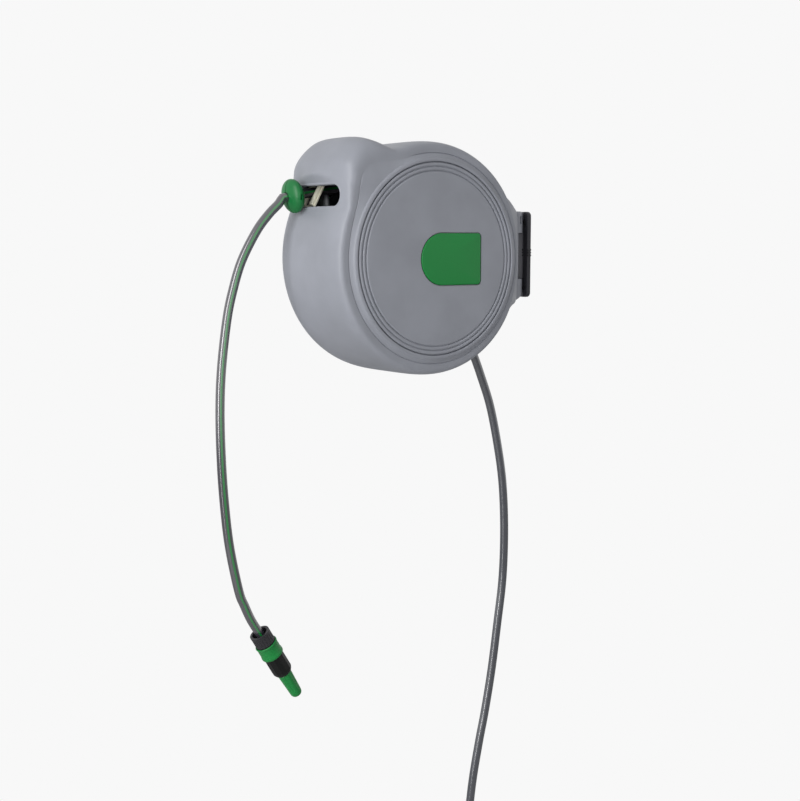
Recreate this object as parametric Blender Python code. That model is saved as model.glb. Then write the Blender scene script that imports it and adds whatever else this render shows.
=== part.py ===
"""Wall-mounted hose reel with spring rewind, built piece by piece.

Metres, +Z up.  The origin is on the wall, on the bracket's back face, level with the drum's axis.
+Y points into the wall, the drum turns about the X direction and +X is the badge side.
Angles around the drum are counted in degrees from straight up towards the front, which is -Y.
The rim's radius, the half width and the bracket's hub are the driving sizes of the reel.
"""
import bpy
import bmesh
import numpy as np
from math import acos, asin, atan2, cos, degrees, hypot, pi, radians, sin, sqrt
from mathutils import Vector

# Clearance between pieces that touch or run on each other, and how far a cutter reaches past its cut
GAP = 0.0003
PAST = 0.0200

# Hose
HOSE_R = 0.0065
HOSE_PITCH = 0.0134

# Bracket, lugs and vertical pivot
PLATE_T = 0.0040
HUB_R = 0.0200
HUB_NECK = HUB_R - 0.0080
HUB_TOP = 0.0372
HUB_BOTTOM = -0.0322
HUB_ROOM = 0.0025
HUB_WRAP = 0.0035
LUG_R = HUB_R + HUB_ROOM + 0.0030
LUG_TOP = HUB_TOP + 0.0331
LUG_BOTTOM = HUB_BOTTOM - 0.0278
PIVOT_Y = -(PLATE_T + 0.0015 + LUG_R)
PLATE_HALF_W = LUG_R - 0.0010
PLATE_TOP = LUG_TOP - 0.0003
PLATE_BOTTOM = LUG_BOTTOM - 0.0010
PLATE_CORNER = 0.0070
PLATE_EDGE = 0.0015
PIN_R = 0.0045
PIN_HEAD_R = 0.0080
PIN_HEAD_T = 0.0050
BUSH_WALL = 0.0027
BUSH_L = 0.0250
LOWER_BUSH_L = 0.0200
WALL_HOLE_X = PLATE_HALF_W - 0.0085
WALL_HOLE_UP = PLATE_TOP - 0.0160
WALL_HOLE_DOWN = PLATE_BOTTOM + 0.0140
WALL_HOLE_R = 0.0025
WALL_HOLE_SINK = 0.0022

# Housing: rim, drum axis and side ring
RIM_R = 0.1658
HALF_WIDTH = 0.0772
WALL = 0.0030
RIM_TO_PIVOT = 0.0300
AXIS_Y = PIVOT_Y - RIM_TO_PIVOT - RIM_R
CREASE_R = 0.89867 * RIM_R
RING_R = CREASE_R - 0.0112
RING_X = HALF_WIDTH + 0.0054
COVER_R = RING_R - 0.0033
COVER_T = 0.0043
GROOVE_W = 0.0020
GROOVE_T = 0.0012
WEB_HOLE_R = 0.0125

# Gear train to the level-wind screw, along one line out from the drum's axis
DRUM_TEETH = 41
IDLER_TEETH = 39
SCREW_TEETH = 13
TRAIN_ANGLE = 45.0
TRAIN_R = RIM_R - 0.0008
MODULE = 2 * TRAIN_R / (DRUM_TEETH + 2 * IDLER_TEETH + SCREW_TEETH)
GEAR_X = HALF_WIDTH - 0.0108
DRUM_GEAR_BORE = 0.0310
GEAR_W = 0.0050
IDLER_PIN_R = 0.0030
IDLER_PIN_SHOULDER = 0.0030
LEAD_SCREW_R = 0.0050
LEAD_SCREW_FORWARD = TRAIN_R * sin(radians(TRAIN_ANGLE))
LEAD_SCREW_UP = TRAIN_R * cos(radians(TRAIN_ANGLE))
JOURNAL_R = 0.0035
JOURNAL_AT = HALF_WIDTH - 0.0202
JOURNAL_END = HALF_WIDTH - 0.0017
ROD_R = 0.0030
ROD_ANGLE = 51.0
ROD_AT_R = RIM_R + 0.0152
ROD_FORWARD = ROD_AT_R * sin(radians(ROD_ANGLE))
ROD_HALF_L = HALF_WIDTH - 0.0082

# Nose: its rise over the rim, and the crease's rise beside it, as shares of its height
NOSE_FRONT = ROD_FORWARD + 0.0093
NOSE_HEIGHT = 0.24125 * RIM_R
NOSE_SHAPE = [(15, 0), (21, 0.03), (25, 0.13), (27.5, 0.34), (30, 0.61), (33, 0.875), (36, 0.985),
              (40, 1), (45, 0.94), (49, 0.875), (52.5, 0.78)]
CREASE_SHAPE = [(14, 0), (20, 0.0125), (28, 0.15), (36, 0.425), (44, 0.6), (48, 0.525), (52, 0.375),
                (56, 0.2375), (60, 0.1375), (65, 0.075), (72, 0.025), (82, 0)]
BROW_ANGLE = 52.5
BROW_STEP = 3.0
RIM_POWER = 4.74
NOSE_POWER = 3.0

# Hose slot in the nose
SLOT_Z = LEAD_SCREW_UP - 0.0293
SLOT_HALF_H = 0.0148
SLOT_DEPTH = 0.0140
SLOT_HALF_L = HALF_WIDTH - 0.0194

# Fairing from the rim to the lugs: distance from the pivot towards the rim, and its half width as a
# share of the way from the lugs' to the widest
FAIRING_HALF_W = HALF_WIDTH - 0.0152
FAIRING = [(0.1040, 1), (0.0840, 1), (0.0730, 0.986), (0.0610, 0.932), (0.0490, 0.808), (0.0390, 0.671),
           (0.0290, 0.479), (0.0190, 0.260), (0.0110, 0.082), (0.0055, 0), (0, 0)]
FAIRING_START = PIVOT_Y - 0.0730
FAIRING_END = PIVOT_Y - 0.0050
FAIRING_CORNER = 0.0110
FAIRING_UNDER_RIM = 0.0006
POCKET_END = PIVOT_Y - 0.0350

# Housing screws
BOSS_ANGLES = (13, 110, 165, 340)
BOSS_AT_R = RIM_R - 0.0138
BOSS_R = 0.0068
SCREW_R = 0.0019
SCREW_HEAD_R = 0.0038
SCREW_HEAD_T = 0.0028
SCREW_SEAT_X = -0.0200
SCREW_REACH = 0.0180

# Badge, measured from the drum's axis
BADGE_FRONT = 0.0302
BADGE_BACK = 0.0778
BADGE_HALF_H = 0.0373
BADGE_CORNER = 0.0060
BADGE_PROUD = 0.0009
BADGE_SINK = 0.0014

# Drum
DRUM_LEFT = 0.0272 - HALF_WIDTH
DRUM_RIGHT = HALF_WIDTH - 0.0192
FLANGE_T = 0.0025
FLANGE_R = RIM_R - 0.0378
CORE_R = 0.0500
CORE_WALL = 0.0030
HUB_SLEEVE_R = 0.0155
HUB_SLEEVE_L = 0.0180
WINDING_R = FLANGE_R - 0.0361
WINDING_POINTS = 24
AXLE_R = 0.0080
AXLE_END = DRUM_LEFT + 0.0320
BEARING_PLATE_R = 0.0300
BEARING_PLATE_T = 0.0027
BUSH_R = 0.0122
SPIGOT_R = 0.0110
SPIGOT_BORE = 0.0060
SPIGOT_END = DRUM_LEFT + 0.0200
CHAMBER_R = 0.0145
CHAMBER_WALL = 0.0030
CHAMBER_END = DRUM_LEFT + 0.0210
SPRING_LEFT = DRUM_LEFT + 0.0380
SPRING_RIGHT = DRUM_RIGHT - 0.0220
SPRING_STRIP = 0.0012
SPRING_TURNS = 5
WATER_TUBE_X = DRUM_LEFT + 0.0115
WATER_TUBE_R = 0.0050
WATER_TUBE_WALL = 0.0015
SEAL_XS = (DRUM_LEFT + 0.0060, DRUM_LEFT + 0.0170)
SEAL_R = 0.00135

# Ratchet and pawl, in the plane beside the left flange
RATCHET_TEETH = 16
RATCHET_R = 0.0560
RATCHET_DEPTH = 0.0045
RATCHET_BORE = 0.0200
RATCHET_T = 0.0030
RATCHET_PHASE = 87.5
PAWL_PIVOT = (RATCHET_R + 0.0060, 0.0400)
PAWL_PIN_R = 0.0020
PAWL_TIP = (RATCHET_R + 0.0036, 0.0042)
PAWL_EYE_R = 0.0055
PAWL_HALF_W = 0.0022
PAWL_PLAY = 0.0002

# Level-wind carriage, guide rollers and the hose through them
HOSE_X = DRUM_LEFT + 0.0120
CARRIAGE_HALF_W = 0.0105
HEAD_FRONT = ROD_FORWARD + ROD_R + GAP
HEAD_CORNER = 0.0053
HEAD_BACK = LEAD_SCREW_FORWARD - LEAD_SCREW_R - 0.0042
HEAD_TOP = LEAD_SCREW_UP + LEAD_SCREW_R + 0.0018
HEAD_BOTTOM = LEAD_SCREW_UP - LEAD_SCREW_R - 0.0052
CAP_T = 0.0045
CAP_SET_BACK = 0.0060
ROLLER_R = 0.0038
ROLLER_PLAY = 0.0005
ROLLER_PIN_R = 0.0015
ROLLER_PIN_L = 0.0045
ROLLER_TOP = (NOSE_FRONT - 0.0253, SLOT_Z + 0.0161)
ROLLER_FOOT = (NOSE_FRONT - 0.0092, SLOT_Z - 0.0129)
POST_SET_BACK = 0.0085
POST_HALF_T = 0.0028
POST_HALF_W = 0.0024
POST_DOWN = 0.0060
POST_UP = 0.0080
SILL_FRONT = NOSE_FRONT - 0.0065
SILL_BACK = NOSE_FRONT - 0.0220
SILL_TOP = SLOT_Z - 0.0162
SILL_BOTTOM = SLOT_Z - 0.0209
LEAD_GUIDE = (NOSE_FRONT - 0.0100, SLOT_Z + 0.0048)
LEAD_ANGLE = 10.0

# Two-part stop clamped on the hose
STOP_AT = (NOSE_FRONT + 0.0140, SLOT_Z + 0.0006)
STOP_TILT = 10.0
STOP_R = 0.0230
STOP_HALF_T = 0.0115
STOP_SCREW_AT = 0.0150
STOP_SCREW_R = 0.0014
STOP_SCREW_HEAD_R = 0.0026
STOP_SCREW_HEAD_T = 0.0018
STOP_SCREW_END = 0.0060

# Hanging hose in the plane of HOSE_X: points as (Y, Z) from the stop's centre, then its end's fittings
HOSE_ROUTE = [(-0.0232, -0.0108), (-0.0392, -0.0252), (-0.0594, -0.0488), (-0.0833, -0.0892),
              (-0.0979, -0.1298), (-0.1079, -0.1705), (-0.1172, -0.2360), (-0.1207, -0.2935),
              (-0.1202, -0.3560), (-0.1167, -0.4196), (-0.1097, -0.4845), (-0.0961, -0.5510),
              (-0.0873, -0.5742), (-0.0764, -0.5979)]
NUT_RIM = (-0.0614, -0.6220)
END_TILT = 31.0
NUT_R = 0.0143
NUT_L = 0.0180
NUT_CUP_R = 0.0108
NUT_CUP_DEPTH = 0.0080
BARREL_L = 0.0550
BARREL_TAPER = 0.0070
BARREL_END_R = 0.0104
COLLAR_T = 0.0011
COLLAR_L = 0.0240
NOZZLE_L = 0.0440
NOZZLE_R = 0.0097
NOZZLE_TIP_R = 0.0073
NOZZLE_TIP_EDGE = 0.0016
NOZZLE_BORE = 0.0030

# Feed hose: its gland, its route as (Y, Z) from the gland's mouth, its coil and tap connector
FEED_X = -0.0100
GLAND_ANGLE = 225.0
GLAND_R = 0.0088
GLAND_COLLAR_R = 0.0115
GLAND_COLLAR_T = 0.0030
GLAND_EDGE = 0.0010
GLAND_IN = RIM_R - 0.0278
GLAND_OUT = RIM_R + 0.0122
PIPE_X = 0.0132 - HALF_WIDTH
PIPE_AT_R = RIM_R - 0.0188
PIPE_BEND = 0.0170
FEED_ROUTE = [(0.0102, -0.0124), (0.0181, -0.0284), (0.0297, -0.0544), (0.0490, -0.1026),
              (0.0642, -0.1609), (0.0754, -0.2198), (0.0804, -0.2789), (0.0811, -0.3375),
              (0.0779, -0.3939), (0.0693, -0.4541), (0.0576, -0.5316), (0.0442, -0.5989),
              (0.0328, -0.6464), (0.0207, -0.7039), (0.0135, -0.7539)]
COIL_R = 0.0660
COIL_REAR = (0.0107, -0.8289)
COIL_TURNS = 3
COIL_STEP = 0.0136
COIL_LEAD_OUT = 0.0200
TIE_T = 0.0015
TIE_W = 0.0100
TIE_ROOM = 0.0010
TIE_CORNER = 0.0060
TAP_BARREL_L = 0.0300
TAP_END_R = NUT_R - 0.0030


def clear_scene():
    for obj in list(bpy.data.objects):
        bpy.data.objects.remove(obj, do_unlink=True)


def finish(name, colour, roughness, metallic=0.0):
    """A plain Principled material from an sRGB hex colour."""
    material = bpy.data.materials.new(name)
    material.use_nodes = True
    shader = material.node_tree.nodes["Principled BSDF"]
    channels = [int(colour[i:i + 2], 16) / 255 for i in (0, 2, 4)]
    linear = [c / 12.92 if c <= 0.04045 else ((c + 0.055) / 1.055) ** 2.4 for c in channels]
    shader.inputs["Base Color"].default_value = (*linear, 1)
    shader.inputs["Roughness"].default_value = roughness
    shader.inputs["Metallic"].default_value = metallic
    material.diffuse_color = (*linear, 1)
    return material


def link(name, data, material):
    obj = bpy.data.objects.new(name, data)
    bpy.context.scene.collection.objects.link(obj)
    if material:
        data.materials.append(material)
    return obj


def solid(name, verts, faces, material):
    """One closed mesh with its faces turned outwards and round parts shaded smooth."""
    mesh = bpy.data.meshes.new(name)
    mesh.from_pydata([tuple(v) for v in verts], [], faces)
    work = bmesh.new()
    work.from_mesh(mesh)
    bmesh.ops.recalc_face_normals(work, faces=work.faces)
    work.to_mesh(mesh)
    work.free()
    mesh.shade_smooth()
    mesh.set_sharp_from_angle(angle=radians(35))
    return link(name, mesh, material)


def grid_faces(rows, columns, first=0):
    """Quads of a grid closed in both directions."""
    faces = []
    for i in range(rows):
        for j in range(columns):
            k = (i + 1) % rows
            m = (j + 1) % columns
            faces.append((first + i * columns + j, first + i * columns + m,
                          first + k * columns + m, first + k * columns + j))
    return faces


def turned(name, profile, material=None, centre=(0, 0, 0), direction=(1, 0, 0), steps=16):
    """A closed profile of (along, radius) points turned about a line through centre."""
    turn = Vector((0, 0, 1)).rotation_difference(Vector(direction).normalized()).to_matrix()
    verts = []
    rings = []
    for along, radius in profile:
        if radius == 0:
            rings.append([len(verts)] * steps)
            verts.append(turn @ Vector((0, 0, along)) + Vector(centre))
        else:
            rings.append(list(range(len(verts), len(verts) + steps)))
            for i in range(steps):
                a = 2 * pi * i / steps
                verts.append(turn @ Vector((radius * cos(a), radius * sin(a), along)) + Vector(centre))
    faces = []
    for n, ring in enumerate(rings):
        after = rings[(n + 1) % len(rings)]
        for i in range(steps):
            k = (i + 1) % steps
            corners = []
            for v in (ring[i], ring[k], after[k], after[i]):
                if v not in corners:
                    corners.append(v)
            if len(corners) > 2:
                faces.append(corners)
    return solid(name, verts, faces, material)


def band(low, high, outer, inner=0):
    """Profile of a plain cylinder, or of a ring or tube when it has an inner radius."""
    return [(low, inner), (low, outer), (high, outer), (high, inner)]


def prism(name, outline, axis, low, high, material=None):
    """An outline pulled straight along X, Y or Z; it is given in the other two axes, in XYZ order."""
    def place(p, level):
        return {"X": (level, p[0], p[1]), "Y": (p[0], level, p[1]), "Z": (p[0], p[1], level)}[axis]
    n = len(outline)
    verts = [place(p, low) for p in outline] + [place(p, high) for p in outline]
    faces = [tuple(range(n)), tuple(range(2 * n - 1, n - 1, -1))]
    faces += [(i, (i + 1) % n, n + (i + 1) % n, n + i) for i in range(n)]
    return solid(name, verts, faces, material)


def arc(cx, cy, radius, start, end, steps):
    """Points on an arc, angles in degrees."""
    return [(cx + radius * cos(radians(start + (end - start) * i / steps)),
             cy + radius * sin(radians(start + (end - start) * i / steps))) for i in range(steps + 1)]


def rounded_rectangle(x0, x1, y0, y1, corner, steps=4):
    return (arc(x1 - corner, y0 + corner, corner, -90, 0, steps)
            + arc(x1 - corner, y1 - corner, corner, 0, 90, steps)
            + arc(x0 + corner, y1 - corner, corner, 90, 180, steps)
            + arc(x0 + corner, y0 + corner, corner, 180, 270, steps))


def boolean(target, other, operation="DIFFERENCE"):
    """Cut or join with a helper, which stays in the file as a hidden guide."""
    other.hide_render = True
    other.display_type = "WIRE"
    step = target.modifiers.new(other.name, "BOOLEAN")
    step.operation = operation
    step.solver = "EXACT"
    step.object = other


def bevel(target, width, segments=2, angle=40):
    step = target.modifiers.new("edge", "BEVEL")
    step.width = width
    step.segments = segments
    step.limit_method = "ANGLE"
    step.angle_limit = radians(angle)


def smooth_route(points, spacing):
    """Points about one spacing apart on a smooth curve through the given ones."""
    p = np.array(points, dtype=float)
    p = np.vstack([2 * p[0] - p[1], p, 2 * p[-1] - p[-2]])
    out = []
    for i in range(1, len(p) - 2):
        count = max(1, int(round(np.linalg.norm(p[i + 1] - p[i]) / spacing)))
        for t in np.arange(count) / count:
            out.append(0.5 * (2 * p[i] + (p[i + 1] - p[i - 1]) * t
                              + (2 * p[i - 1] - 5 * p[i] + 4 * p[i + 1] - p[i + 2]) * t * t
                              + (3 * p[i] - p[i - 1] - 3 * p[i + 1] + p[i + 2]) * t ** 3))
    out.append(p[-2])
    return np.array(out)


def tube(name, points, radius, material, resolution=2):
    """A round tube along the points, with closed ends."""
    data = bpy.data.curves.new(name, "CURVE")
    data.dimensions = "3D"
    data.bevel_depth = radius
    data.bevel_resolution = resolution
    data.use_fill_caps = True
    data.twist_mode = "MINIMUM"
    spline = data.splines.new("POLY")
    spline.points.add(len(points) - 1)
    for target, source in zip(spline.points, points):
        target.co = (*source, 1)
        target.radius = 1
    return link(name, data, material)


def around(angle, radius, x=0.0):
    """A point around the drum's axis."""
    return Vector((x, AXIS_Y - radius * sin(radians(angle)), radius * cos(radians(angle))))


def outward(angle):
    return Vector((0, -sin(radians(angle)), cos(radians(angle))))


def from_axis(point, x):
    """A point given as (forward of the axis, above the axis)."""
    return Vector((x, AXIS_Y - point[0], point[1]))


def eased(knots, value):
    """Smooth curve through a few (position, height) knots, flat beyond its ends."""
    xs, ys = np.array(knots, dtype=float).T
    slopes = np.gradient(ys, xs)
    slopes[0] = 0
    v = np.clip(value, xs[0], xs[-1])
    i = min(max(int(np.searchsorted(xs, v)) - 1, 0), len(xs) - 2)
    h = xs[i + 1] - xs[i]
    t = (v - xs[i]) / h
    return ((2 * t ** 3 - 3 * t * t + 1) * ys[i] + (t ** 3 - 2 * t * t + t) * h * slopes[i]
            + (3 * t * t - 2 * t ** 3) * ys[i + 1] + (t ** 3 - t * t) * h * slopes[i + 1])


def nose_rise(angle):
    """How far the nose stands above the round rim; its front is a flat face behind a brow."""
    if not NOSE_SHAPE[0][0] < angle < 90:
        return 0.0
    top = NOSE_HEIGHT * eased(NOSE_SHAPE, angle)
    front = max(NOSE_FRONT / sin(radians(angle)) - RIM_R, 0)
    t = min(max((angle - BROW_ANGLE) / BROW_STEP, 0), 1)
    t = t * t * (3 - 2 * t)
    return top * (1 - t) + front * t


def section(angle, inset, steps):
    """Crown line from the middle plane to the crease: X and radius, set in by the wall thickness."""
    rise = nose_rise(angle)
    base = CREASE_R - 0.8 * inset
    if CREASE_SHAPE[0][0] < angle < CREASE_SHAPE[-1][0]:
        base += NOSE_HEIGHT * eased(CREASE_SHAPE, angle)
    crown = RIM_R + rise - inset
    power = RIM_POWER - (RIM_POWER - NOSE_POWER) * min(rise / NOSE_HEIGHT, 1)
    line = []
    for step in steps:
        t = radians(step)
        line.append(((HALF_WIDTH - inset) * max(cos(t), 0) ** (2 / power),
                     base + (crown - base) * sin(t) ** (2 / power)))
    return line


def housing_half(name, side, material):
    """Half of the housing's shell, as rings of points around the drum's axis."""
    angles = sorted(set(range(0, 360, 10)) | {15, 23, 26, 33, 36, 45, 52, 53.5, 55, 57, 65})
    seat_x = RING_X - COVER_T - GAP
    inner_x = HALF_WIDTH - WALL
    verts = []
    columns = 0
    for angle in angles:
        outer = section(angle, 0, (90, 68, 46, 30, 17, 7, 0))
        ring = [(RING_X - 0.0016, RING_R + 0.0036), (RING_X, RING_R),
                (RING_X, COVER_R + GAP), (seat_x, COVER_R + GAP), (seat_x, WEB_HOLE_R),
                (inner_x, WEB_HOLE_R)]
        inner = section(angle, WALL, (0, 10, 22, 50, 90))
        loop = outer + ring + inner
        columns = len(loop)
        for x, radius in loop:
            verts.append(around(angle, radius, side * max(x, GAP / 2)))
    return solid(name, verts, grid_faces(len(angles), columns), material)


def fairing_heights(y):
    """Top and bottom of the fairing: round with the rim, then easing into the lugs."""
    radius = RIM_R - FAIRING_UNDER_RIM
    if y <= FAIRING_START:
        z = sqrt(radius ** 2 - (y - AXIS_Y) ** 2)
        return z, -z
    start = sqrt(radius ** 2 - (FAIRING_START - AXIS_Y) ** 2)
    slope = -(FAIRING_START - AXIS_Y) / start
    h = FAIRING_END - FAIRING_START
    t = min((y - FAIRING_START) / h, 1)
    lead = (t ** 3 - 2 * t * t + t) * h * slope
    keep = 2 * t ** 3 - 3 * t * t + 1
    return (keep * start + lead + (1 - keep) * LUG_TOP, -keep * start - lead + (1 - keep) * LUG_BOTTOM)


def fairing_loft(name, side, inset, material=None):
    """One half of the fairing as a loft of rounded sections, or its hollow when inset."""
    stations = [(PIVOT_Y - ahead, LUG_R + share * (FAIRING_HALF_W - LUG_R)) for ahead, share in FAIRING]
    if inset:
        widths = np.array(stations).T
        stations = [s for s in stations if s[0] < POCKET_END]
        stations.append((POCKET_END, float(np.interp(POCKET_END, *widths))))
    else:
        stations += [(PIVOT_Y + LUG_R * sin(radians(a)), LUG_R * cos(radians(a))) for a in (30, 55, 76)]
    inner = GAP / 2 if not inset else -GAP
    verts = []
    for y, half in stations:
        top, bottom = fairing_heights(y)
        top -= inset
        bottom += inset
        half = half - inset
        corner = min(FAIRING_CORNER, 0.45 * half) if not inset else FAIRING_CORNER - inset
        outline = ([(inner, bottom)] + arc(half - corner, bottom + corner, corner, -90, 0, 3)
                   + arc(half - corner, top - corner, corner, 0, 90, 3) + [(inner, top)])
        verts += [(side * x, y, z) for x, z in outline]
    n = len(verts) // len(stations)
    faces = [tuple(range(n)), tuple(range(len(verts) - 1, len(verts) - n - 1, -1))]
    for i in range(len(stations) - 1):
        for j in range(n):
            k = (j + 1) % n
            faces.append((i * n + j, i * n + k, (i + 1) * n + k, (i + 1) * n + j))
    return solid(name, verts, faces, material)


def axis_cylinder(name, radius, x0, x1, steps=48):
    return turned(name, band(x0, x1, radius), centre=(0, AXIS_Y, 0), steps=steps)


def pivot_bores():
    """Stepped bores of both lugs: bush seats, the pin head's recess and the pin's blind end."""
    bush = PIN_R + GAP + BUSH_WALL + GAP
    high = HUB_TOP + GAP + BUSH_L + GAP
    low = HUB_TOP - PLATE_EDGE
    top = LUG_TOP + PAST
    head = PIN_HEAD_R + GAP
    upper = turned("upper_bore", [(low, 0), (low, bush), (high, bush), (high, head), (top, head), (top, 0)],
                   centre=(0, PIVOT_Y, 0), direction=(0, 0, 1))
    low = HUB_BOTTOM - GAP - LOWER_BUSH_L - GAP
    floor = LUG_BOTTOM + WALL
    lower = turned("lower_bore", [(floor, 0), (floor, PIN_R + GAP), (low, PIN_R + GAP), (low, bush),
                                  (HUB_BOTTOM + PLATE_EDGE, bush), (HUB_BOTTOM + PLATE_EDGE, 0)],
                   centre=(0, PIVOT_Y, 0), direction=(0, 0, 1))
    return upper, lower


def build_housing(grey):
    """Both shell halves with their fairing, lugs, bosses, slot and bores."""
    room = HUB_R + HUB_ROOM
    open_y = PIVOT_Y + HUB_WRAP
    edge = degrees(asin(HUB_WRAP / room))
    reach = RING_X + PAST
    hub_room = prism("hub_room", [(reach, PAST), (-reach, PAST), (-reach, open_y)]
                     + arc(0, PIVOT_Y, room, 180 - edge, 360 + edge, 12) + [(reach, open_y)],
                     "Z", HUB_BOTTOM - GAP, HUB_TOP + GAP)
    upper, lower = pivot_bores()
    slot_r = SLOT_HALF_H
    slot = prism("slot_cutter", arc(SLOT_HALF_L - slot_r, SLOT_Z, slot_r, -90, 90, 8)
                 + arc(slot_r - SLOT_HALF_L, SLOT_Z, slot_r, 90, 270, 8),
                 "Y", AXIS_Y - NOSE_FRONT - PAST, AXIS_Y - NOSE_FRONT + SLOT_DEPTH)
    halves = []
    sockets = []
    for n, (angle, radius, bore, half_l) in enumerate(((ROD_ANGLE, ROD_AT_R, ROD_R, ROD_HALF_L),
                                                       (TRAIN_ANGLE, TRAIN_R, JOURNAL_R, JOURNAL_END))):
        end = half_l + GAP
        sockets.append(turned(f"rod_socket_{n}", band(-end, end, bore + GAP), centre=around(angle, radius),
                              steps=12))
    for side, name in ((-1, "housing_left"), (1, "housing_right")):
        half = housing_half(name, side, grey)
        fairing = fairing_loft(name + "_fairing", side, 0)
        boolean(fairing, fairing_loft(name + "_pocket", side, WALL))
        boolean(fairing, axis_cylinder(name + "_drum_room", RIM_R - 0.8 * WALL, -reach, reach, 36))
        boolean(half, fairing, "UNION")
        for n, angle in enumerate(BOSS_ANGLES):
            at = around(angle, BOSS_AT_R)
            root = HALF_WIDTH - WALL / 2
            boss = turned(f"{name}_boss_{n}", band(GAP / 2, root, BOSS_R), centre=at, direction=(side, 0, 0),
                          steps=10)
            boolean(half, boss, "UNION")
        for cutter in (hub_room, upper, lower, slot, *sockets):
            boolean(half, cutter)
        halves.append(half)
    seat = SCREW_SEAT_X
    for n, angle in enumerate(BOSS_ANGLES):
        at = around(angle, BOSS_AT_R)
        wide, narrow, end = SCREW_HEAD_R + GAP, SCREW_R + GAP, SCREW_REACH + GAP
        hole = turned(f"screw_hole_{n}", [(-RING_X, 0), (-RING_X, wide), (seat, wide), (seat, narrow),
                                          (end, narrow), (end, 0)], centre=at, steps=10)
        for half in halves:
            boolean(half, hole)
    gland_hole = turned("gland_hole", band(RIM_R - PAST, RIM_R + PAST, GLAND_R + GAP),
                        centre=(FEED_X, AXIS_Y, 0), direction=outward(GLAND_ANGLE))
    boolean(halves[0], gland_hole)


def build_housing_screws(steel):
    head = SCREW_SEAT_X - GAP
    for n, angle in enumerate(BOSS_ANGLES):
        turned(f"housing_screw_{n + 1}", [(head - SCREW_HEAD_T, 0), (head - SCREW_HEAD_T, SCREW_HEAD_R),
                                          (head, SCREW_HEAD_R), (head, SCREW_R), (SCREW_REACH, SCREW_R),
                                          (SCREW_REACH, 0)], steel, around(angle, BOSS_AT_R), steps=10)


def badge_outline(room):
    """Half round towards the front, square with small corners towards the wall."""
    r = BADGE_HALF_H + room
    c = BADGE_CORNER + room
    front = AXIS_Y - BADGE_FRONT + BADGE_HALF_H
    back = AXIS_Y + BADGE_BACK + room
    return (arc(front, 0, r, 90, 270, 16) + arc(back - c, c - r, c, -90, 0, 3)
            + arc(back - c, r - c, c, 0, 90, 3))


def build_side_covers(grey, green):
    """Round covers with two grooves inside the ring groove; the right one carries the badge."""
    back = RING_X - COVER_T
    for side, name in ((-1, "side_cover_left"), (1, "side_cover_right")):
        profile = [(back, 0), (back, COVER_R), (RING_X, COVER_R)]
        for groove in (COVER_R - 0.0056, COVER_R - 0.01165):
            profile += [(RING_X, groove + GROOVE_W / 2), (RING_X - GROOVE_T, groove),
                        (RING_X, groove - GROOVE_W / 2)]
        profile.append((RING_X, 0))
        cover = turned(name, profile, grey, (0, AXIS_Y, 0), (side, 0, 0), steps=36)
        if side > 0:
            pocket = prism("badge_pocket", badge_outline(GAP), "X", RING_X - BADGE_SINK, RING_X + PAST)
            boolean(cover, pocket)
    prism("badge", badge_outline(0), "X", RING_X - BADGE_SINK + GAP, RING_X + BADGE_PROUD, green)


def build_bracket(black, steel, white):
    """Wall plate with its necked hub and countersunk holes, the vertical pin and its two bushes."""
    plate = prism("wall_bracket", rounded_rectangle(-PLATE_HALF_W, PLATE_HALF_W, PLATE_BOTTOM, PLATE_TOP,
                                                     PLATE_CORNER), "Y", -PLATE_T, 0, black)
    open_angle = degrees(acos(HUB_NECK / HUB_R))
    root = PLATE_EDGE - PLATE_T
    hub = prism("bracket_hub", [(HUB_NECK, root), (-HUB_NECK, root)]
                + arc(0, PIVOT_Y, HUB_R, 180 - open_angle, 360 + open_angle, 18), "Z", HUB_BOTTOM, HUB_TOP)
    boolean(plate, hub, "UNION")
    through = band(HUB_BOTTOM - PAST, HUB_TOP + PAST, PIN_R + GAP)
    boolean(plate, turned("bracket_bore", through, centre=(0, PIVOT_Y, 0), direction=(0, 0, 1)))
    spots = [(x, z) for z in (WALL_HOLE_UP, WALL_HOLE_DOWN) for x in (-WALL_HOLE_X, WALL_HOLE_X)]
    for n, (x, z) in enumerate(spots):
        seat = WALL_HOLE_SINK - PLATE_T
        wide = WALL_HOLE_R + WALL_HOLE_SINK
        profile = [(PAST, 0), (PAST, WALL_HOLE_R), (seat, WALL_HOLE_R), (-PLATE_T, wide), (-PLATE_T - PAST, wide),
                   (-PLATE_T - PAST, 0)]
        boolean(plate, turned(f"wall_hole_{n}", profile, centre=(x, 0, z), direction=(0, 1, 0), steps=12))
    bevel(plate, PLATE_EDGE, 1, 60)
    plate.modifiers.move(len(plate.modifiers) - 1, 0)
    head = HUB_TOP + 2 * GAP + BUSH_L + GAP
    tip = LUG_BOTTOM + WALL + GAP
    turned("pivot_pin", [(tip, 0), (tip, 0.82 * PIN_R), (tip + 0.27 * PIN_R, PIN_R), (head, PIN_R),
                         (head, PIN_HEAD_R), (head + PIN_HEAD_T, PIN_HEAD_R), (head + PIN_HEAD_T, 0)],
           steel, (0, PIVOT_Y, 0), (0, 0, 1))
    for name, low, length in (("pivot_bush_upper", HUB_TOP + GAP, BUSH_L),
                              ("pivot_bush_lower", HUB_BOTTOM - GAP - LOWER_BUSH_L, LOWER_BUSH_L)):
        turned(name, band(low, low + length, PIN_R + GAP + BUSH_WALL, PIN_R + GAP), white, (0, PIVOT_Y, 0),
               (0, 0, 1))


def winding_centre():
    """Radius of the outer layer's centre line, clear of the core also between its points."""
    return (WINDING_R + GAP + HOSE_R) / cos(pi / WINDING_POINTS)


def about_axis(name, profile, material, steps=16):
    return turned(name, profile, material, (0, AXIS_Y, 0), steps=steps)


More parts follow.
